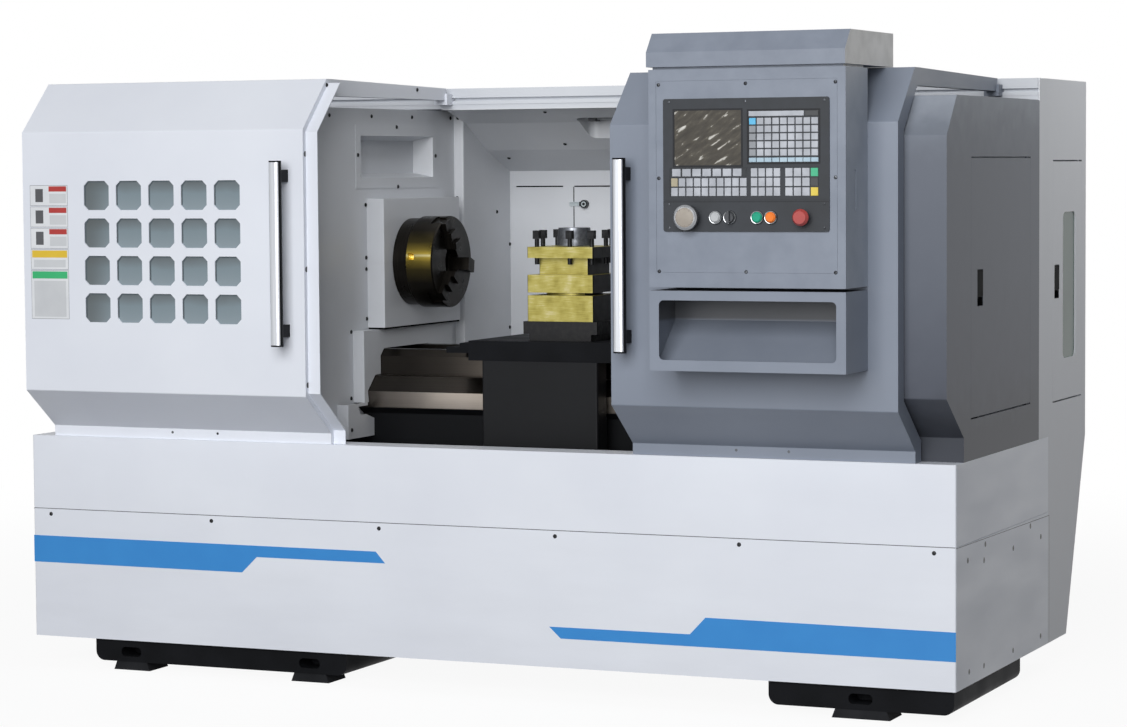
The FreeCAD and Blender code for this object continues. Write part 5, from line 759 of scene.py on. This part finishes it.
# A black seam parts the button panel from the keyboard, and the screen and the right
# keypad stand in thin dark bezels.
SEAM, BEZEL = 1187.0, 3.5  # mm; height of the seam, width of the bezels
BEZELS = ((2010, 2187, 1270, 1408), (2198, 2380, 1276, 1405))
RAISED = 0.7  # mm
spans = [((1985.6, 2401.4), (SEAM, SEAM + 1.4), 0.1)]
for x0, x1, z0, z1 in BEZELS:
    upright = (z0 + BEZEL, z1 - BEZEL)
    spans += [((x0, x1), (z1 - BEZEL, z1), RAISED), ((x0, x1), (z0, z0 + BEZEL), RAISED),
              ((x0, x0 + BEZEL), upright, RAISED), ((x1 - BEZEL, x1), upright, RAISED)]
trim = bmesh.new()
for x, z, proud in spans:
    plate(trim, oblong(x, PANEL_Y - proud, z), (0, proud, 0))
piece("panel_trim", trim, textured_plastic("black bezel plastic", "#1B1C1F", "#222327", 2.0, 0.5, 0.2),
      "right_door")

KEY_FACE, KEY_FOOT = -295.6, -293.2  # mm; front and back of the key caps
PAD_X, PAD_TOP = (2202, 2376), (1388, 1401)  # mm; the right keypad and its top strip
PAD_Z, PAD_FOOT = (1294, 1386), (1280, 1292)  # mm; its keys, and the pale ones below them
LOW_KEYS = ((2004, 2198, 10), (2206, 2282, 4), (2292, 2376, 4))  # x, x, columns of the low keypad
LOW_Z, TOP_ROW_X, TOP_ROW_Z = (1200, 1268), (2006, 2186), (1246, 1268)
KEY_COLOURS = (
    ("silver", "silver key plastic", "#A3A7AF", "#BCC0C8", 0.42),
    ("grey", "grey key plastic", "#868A90", "#94989E", 0.42),
    ("pale_blue", "pale blue key plastic", "#9DB7C8", "#B2C8D6", 0.42),
    ("blue", "light blue key plastic", "#55B4E0", "#6CC2E8", 0.42),
    ("tan", "tan key plastic", "#A39A82", "#B2A98F", 0.42),
    ("green", "green key plastic", "#35AE80", "#46BC8F", 0.42),
    ("yellow", "yellow key plastic", "#D6BC3C", "#E2CA50", 0.42),
    ("black", "black key surround", "#26282B", "#2E3034", 0.5))
key_plastics = {name: textured_plastic(plastic, dark, light, 2.0, rough)
                for name, plastic, dark, light, rough in KEY_COLOURS}
keys = {colour: bmesh.new() for colour in key_plastics}


def key(colour, x, z, gap=1.6):
    """One key cap over an (x, x) and (z, z) span of its field."""
    corners = oblong((x[0] + gap, x[1] - gap), KEY_FACE, (z[0] + gap, z[1] - gap))
    plate(keys[colour], corners, (0, KEY_FOOT - KEY_FACE, 0), 0.5)


def key_field(x, z, columns, rows):
    """Column, row and spans of each key of an even field."""
    for i in range(columns):
        for j in range(rows):
            yield i, j, [[span[0] + (span[1] - span[0]) * (k + n) / count for n in (0, 1)]
                         for span, k, count in ((x, i, columns), (z, j, rows))]


key("silver", (PAD_X[0], PAD_X[1] - 36), PAD_TOP, gap=0.6)
key("black", (PAD_X[1] - 34, PAD_X[1]), PAD_TOP, gap=0.6)
for i, j, (x, z) in key_field(PAD_X, PAD_Z, 9, 5):
    key("blue" if (i, j) == (0, 4) else "grey" if i == 0 else "silver", x, z)
for i, j, (x, z) in key_field(PAD_X, PAD_FOOT, 9, 1):
    key("pale_blue", x, z, gap=0.9)
for block, (from_x, to_x, columns) in enumerate(LOW_KEYS):
    for i, j, (x, z) in key_field((from_x, to_x), LOW_Z, columns, 3):
        if block == 0 and j == 2:
            continue
        colour = "tan" if (block, i, j) == (0, 0, 1) else "silver"
        if block == 2 and i == columns - 1:
            colour = ("yellow", "black", "green")[j]
        key(colour, x, z)
for i, j, (x, z) in key_field(TOP_ROW_X, TOP_ROW_Z, 7, 1):
    key("silver", x, z, gap=2.2)
for colour, mesh in keys.items():
    piece("keys_" + colour, mesh, key_plastics[colour], "right_door")

# ------------ screen
# Flat glass screen, switched off, still under its creased protective film.  The slanting pale streaks over a
# brown-grey ground are painted reflections along the film's folds, which also bump the surface.
CREASE = (0.034, 1.0, 0.009)  # m; length, depth and width of a fold
CREASE_SLANT = math.radians(-34)


def screen_finish():
    """Dark glass under a crumpled clear film, with painted pale reflections along its folds."""
    material, spot = blank("screen glass under creased film")
    slant = node(material, "Mapping", {
        "Vector": spot, "Rotation": (0, CREASE_SLANT, 0), "Scale": CREASE}, vector_type="TEXTURE")
    crease = node(material, "TexNoise", {"Vector": slant, "Scale": 1.0, "Detail": 3.0})
    # The two pale stops are painted reflections along the folds.
    colour = shades(material, crease, 0.3, 0.75, "#3E3B36", "#4D4942", "#5C584F", "#B5B3AC", "#DAD8D3",
                    at=(0, 0.55, 0.73, 0.79, 1))
    return surface(material, colour, 0.3, (crease, 0.5, 2.0), 0.25)


dress(screen_finish(), "screen")

# ------------ buttons and pulse wheel
# Push buttons with moulded caps in chrome-plated rings, a red mushroom stop, a dark
# selector and the pulse wheel: a turned aluminium dial with a cream face.
BUTTON_X = {"power": 2119, "selector": 2155, "start": 2224, "hold": 2258}
BUTTON_Z = 1151
# Each cap has a moulded collar, which covers the edge of the hole in the ring.
COLLAR = ((11.15, 7.6), (12.0, 7.4), (12.7, 6.6), (12.7, 4.2), (11.15, 4.2), (11.15, 7.6))
RING = ((13.1, 4.5), (13.5, 6.4), (14.8, 6.8), (15.9, 5.6), (16.4, 2.0), (16.4, -1.5), (13.1, -1.5),
        (13.1, 4.5))


def hoops(name, profile, places, material, body):
    """One piece of like hoops on the button panel, at places along it."""
    mesh = bmesh.new()
    for x in places:
        turned(mesh, profile, place(x, PANEL_Y, BUTTON_Z), FRONT, 36)
    bmesh.ops.remove_doubles(mesh, verts=mesh.verts, dist=1e-6)
    piece(name, mesh, material, body)


for use, colour, dark, light in (("start", "green", "#0C8F71", "#12A281"),
                                 ("hold", "orange", "#E86F18", "#F5842C"),
                                 ("power", "white", "#B4B7BA", "#C6C8CA")):
    plastic = textured_plastic(colour + " button plastic", dark, light, 3.0, 0.34, 0.3)
    dress(plastic, use + "_button")
    hoops(use + "_collar", COLLAR, [BUTTON_X[use]], plastic, use + "_cap")
dress(textured_plastic("red button plastic", "#9E3431", "#AB3D39", 3.0, 0.34), "emergency_stop")
dress(textured_plastic("dark grey selector plastic", "#3C3E42", "#4B4D51", 2.0, 0.45, 0.3), "selector_knob")
hoops("button_rings", RING, BUTTON_X.values(),
      ground_metal("chrome-plated ring", "#8E9194", "#B4B6B9", (12, 12, 12), 0.18),
      "right_door")
dress(ground_metal("turned dial aluminium", "#84868A", "#B2B4B8", (40, 1.5, 40), 0.26), "pulse_wheel")
DIAL_PLATE = ((0, 0.08), (22.5, 0.08), (23.2, 0.04), (23.2, -1.0), (0, -1.0))
dial_spot = place(2052, -329, BUTTON_Z)
dial_face = bmesh.new()
turned(dial_face, DIAL_PLATE, dial_spot, FRONT, 48)
piece("dial_face", dial_face, textured_plastic("cream dial plate", "#9C948A", "#ACA49A", 4.0, 0.45, 0.3),
      "pulse_dial")
# Fifty graduation lines around the plate, every fifth one longer.
LINES, LINE_HALF, RIM = 50, 0.25, 22.3  # number; mm
marks = bmesh.new()
for i in range(LINES):
    aim = Matrix.Rotation(i * math.tau / LINES, 3, "Y")
    inner = 18.6 if i % 5 == 0 else 20.6
    corners = [dial_spot + aim @ Vector((x, -0.12, z)) / 1000 for x, z in (
        (-LINE_HALF, inner), (LINE_HALF, inner), (LINE_HALF, RIM), (-LINE_HALF, RIM))]
    plate(marks, corners, (0, 0.1, 0))
piece("dial_marks", marks, textured_plastic("black moulded plastic", "#0D0E10", "#141517", 2.0, 0.5, 0.12),
      "pulse_dial")

# ------------ service doors
# Flush doors in the right side: blue-grey in the fixed cover, white with a tall tinted
# window in the housing.  Both close with black moulded paddle latches.
# Both service doors take the painted shade of the sheets around them.
dress(shaded_blue_grey, "right_side_door")
dress(white_shaded_low, "rear_side_door")
window_sheet, window_spot = blank("green-tinted polycarbonate")
ripple = pattern(window_sheet, window_spot, 260, 2.0)
window_tint = shades(window_sheet, ripple, 0.35, 0.65, "#4B6159", "#586E66")
dress(surface(window_sheet, window_tint, 0.25, (ripple, 0.06, 0.8), 0.12, 1.58), "side_window")
latch_black = textured_plastic("black latch plastic", "#0B0C0D", "#121314", 2.0, 0.6, 0.02)
dress(latch_black, "side_door_latch", "rear_door_latch")
# Each paddle sits in a black moulded liner that shows below it as the finger gap.
LINER_X = (2607.2, 2619)  # mm; bottom and mouth of the liner
LINER_HEIGHT, LINER_IN = 20.5, 2.4  # mm; its height, and how far in from the paddle's ends
WALL, INSET = 0.5, 0.6  # mm; its walls, and how far their faces stand in
for body, latch, foot in (("side_door", "side_door_latch", 925.2), ("rear_door", "rear_door_latch", 914.2)):
    paddle_lo, paddle_hi = [(Vector(end) - skirt_corner) * 1000 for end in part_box(latch)]
    y, z = (paddle_lo.y + LINER_IN, paddle_hi.y - LINER_IN), (foot, foot + LINER_HEIGHT)
    liner = bmesh.new()
    plate(liner, oblong(LINER_X[0] + INSET, y, z), (-WALL, 0, 0))
    plate(liner, oblong(LINER_X, y, foot + INSET), (0, 0, -WALL))
    plate(liner, oblong(LINER_X, y[0] + INSET, z), (0, -WALL, 0))
    plate(liner, oblong(LINER_X, y[1] - INSET, z), (0, WALL, 0))
    piece(latch + "_liner", liner, latch_black, body)

# ------------ rear access door
# Small white door in the lamp panel.  Its cam latch is blackened, with a bright
# zinc-plated finger behind the wall's edge and a bright ring around the key.
# The door takes the same painted shade as the lamp panel.
dress(shaded_inner_white, "rear_access_door")
knob = place(1135, 0, 1164)
RING_MID, RING_HALF = 0.006, 0.0015  # m; radius of the bright ring, half its width
FINGER_END = 1116  # mm; the finger ends here


def latch_finish():
    """Bright zinc finger, blackened cam and a bright ring around its key."""
    material, spot = blank("zinc-plated and blackened latch")
    wear = pattern(material, spot, 12, 4.0)
    along = node(material, "SeparateXYZ", {"Vector": spot}).outputs["X"]
    off = node(material, "VectorMath", {
        0: spot, 1: (1, 0, 1), 2: (-knob.x, 0, -knob.z)}, operation="MULTIPLY_ADD")
    away = node(material, "VectorMath", {0: off}, operation="LENGTH")
    ring = node(material, "Math", {0: away, 1: RING_MID, 2: RING_HALF}, operation="COMPARE")
    finger = node(material, "Math", {0: along, 1: place(FINGER_END, 0, 0).x}, operation="LESS_THAN")
    bright = node(material, "Math", {0: ring, 1: finger}, operation="MAXIMUM")
    colour = two_tone(material, bright, wear, (0.35, 0.65), ("#2A2C2E", "#3C3F42"), ("#B4BEC2", "#D2DADD"))
    return surface(material, colour, 0.34, (wear, 0.1, 0.1), metal=0.8)


dress(latch_finish(), "access_latch")

# ------------ studio
# Plain pale floor, which fades into a white surround, and soft lamps at a level where a
# colour looks about as written.
FLOOR_HALF = 30.0  # m
FADE = (1.6, 5.5)  # m from the middle; the floor fades out between them
MOTTLE = 1000 / 1.2  # mm
AMBIENT = 0.12


def backdrop(material):
    """1 for what the camera, a reflection or a window sees, 0 for light on surfaces."""
    path = node(material, "LightPath").outputs
    seen = node(material, "Math", {
        0: path["Is Camera Ray"], 1: path["Is Glossy Ray"]}, operation="MAXIMUM")
    return node(material, "Math", {0: seen, 1: path["Is Transmission Ray"]}, operation="MAXIMUM")


floor_mesh = bmesh.new()
bmesh.ops.create_grid(floor_mesh, x_segments=2, y_segments=2, size=FLOOR_HALF)
floor_data = bpy.data.meshes.new("floor")
floor_mesh.to_mesh(floor_data)
floor_mesh.free()
floor = bpy.data.objects.new("floor", floor_data)
bpy.context.scene.collection.objects.link(floor)

floor_paint, floor_spot = blank("pale matt studio floor")
mottle = pattern(floor_paint, floor_spot, MOTTLE, 3.0)
seen = backdrop(floor_paint)
floor_colour = node(floor_paint, "Mix", {
    "Factor": seen, "A": linear("#5E6064"),
    "B": shades(floor_paint, mottle, 0.3, 0.7, "#F3F4F6", "#F7F8F9")}, data_type="RGBA")
floor_matt = node(floor_paint, "BsdfDiffuse", {"Color": floor_colour})
far_away = node(floor_paint, "VectorMath", {0: floor_spot}, operation="LENGTH")
fade = node(floor_paint, "MapRange", {
    "Value": far_away, "From Min": FADE[0], "From Max": FADE[1], "To Min": 0.93, "To Max": 1.0},
    interpolation_type="SMOOTHSTEP")
only_seen = node(floor_paint, "Math", {0: fade, 1: seen}, operation="MULTIPLY")
glow = node(floor_paint, "Emission", {"Color": (1, 1, 1, 1), "Strength": 1.0})
floor_shader = node(floor_paint, "MixShader", {0: only_seen, 1: floor_matt, 2: glow})
node(floor_paint, "OutputMaterial", {"Surface": floor_shader})
floor_data.materials.append(floor_paint)

world = bpy.data.worlds.new("studio")
bpy.context.scene.world = world
world.use_nodes = True
world.node_tree.nodes.clear()
room = node(world, "Background", {"Color": linear("#EEF2F8"), "Strength": AMBIENT})
white = node(world, "Background", {"Color": (1, 1, 1, 1), "Strength": 1.0})
sky = node(world, "MixShader", {0: backdrop(world), 1: room, 2: white})
node(world, "OutputWorld", {"Surface": sky})


def lamp(name, spot, aim, size, watts, spread=180):
    """Square soft light that shines from spot towards aim."""
    light = bpy.data.lights.new(name, "AREA")
    light.shape = "SQUARE"
    light.size = size
    light.energy = watts
    light.spread = math.radians(spread)
    made = bpy.data.objects.new(name, light)
    made.location = spot
    made.rotation_euler = (Vector(aim) - Vector(spot)).to_track_quat("-Z", "Y").to_euler()
    made.visible_camera = False
    bpy.context.scene.collection.objects.link(made)


# The key stands high in front, a small lamp lifts the upper right side, and a weak one
# hangs over the work.
lamp("key", (1.9, -11.1, 4.5), (0.1, 0, 0.8), 8.0, 1335)
lamp("hall_light", (2.3, 1.5, 2.6), (1.31, 0.4, 1.35), 0.6, 2.6, 90)
lamp("over_the_work", (0.02, 0.08, 1.98), (0.0, 0.1, 0.9), 0.75, 1.2, 115)

# ------------ camera
# The photograph's viewpoint, solved from the straight edges of the covers.
camera = bpy.data.objects.new("camera", bpy.data.cameras.new("camera"))
camera.data.lens = 100.22
camera.data.sensor_width = 36.0
camera.data.clip_end = 200.0
pan, tilt, roll = (math.radians(turn) for turn in (23.841, 90 - 3.583, -0.415))
camera.rotation_euler = (
    Matrix.Rotation(pan, 3, "Z") @ Matrix.Rotation(tilt, 3, "X") @ Matrix.Rotation(roll, 3, "Z")).to_euler()
camera.location = (3.4823, -7.6936, 1.3555)
bpy.context.scene.collection.objects.link(camera)
bpy.context.scene.camera = camera
bpy.context.scene.view_settings.view_transform = "Standard"
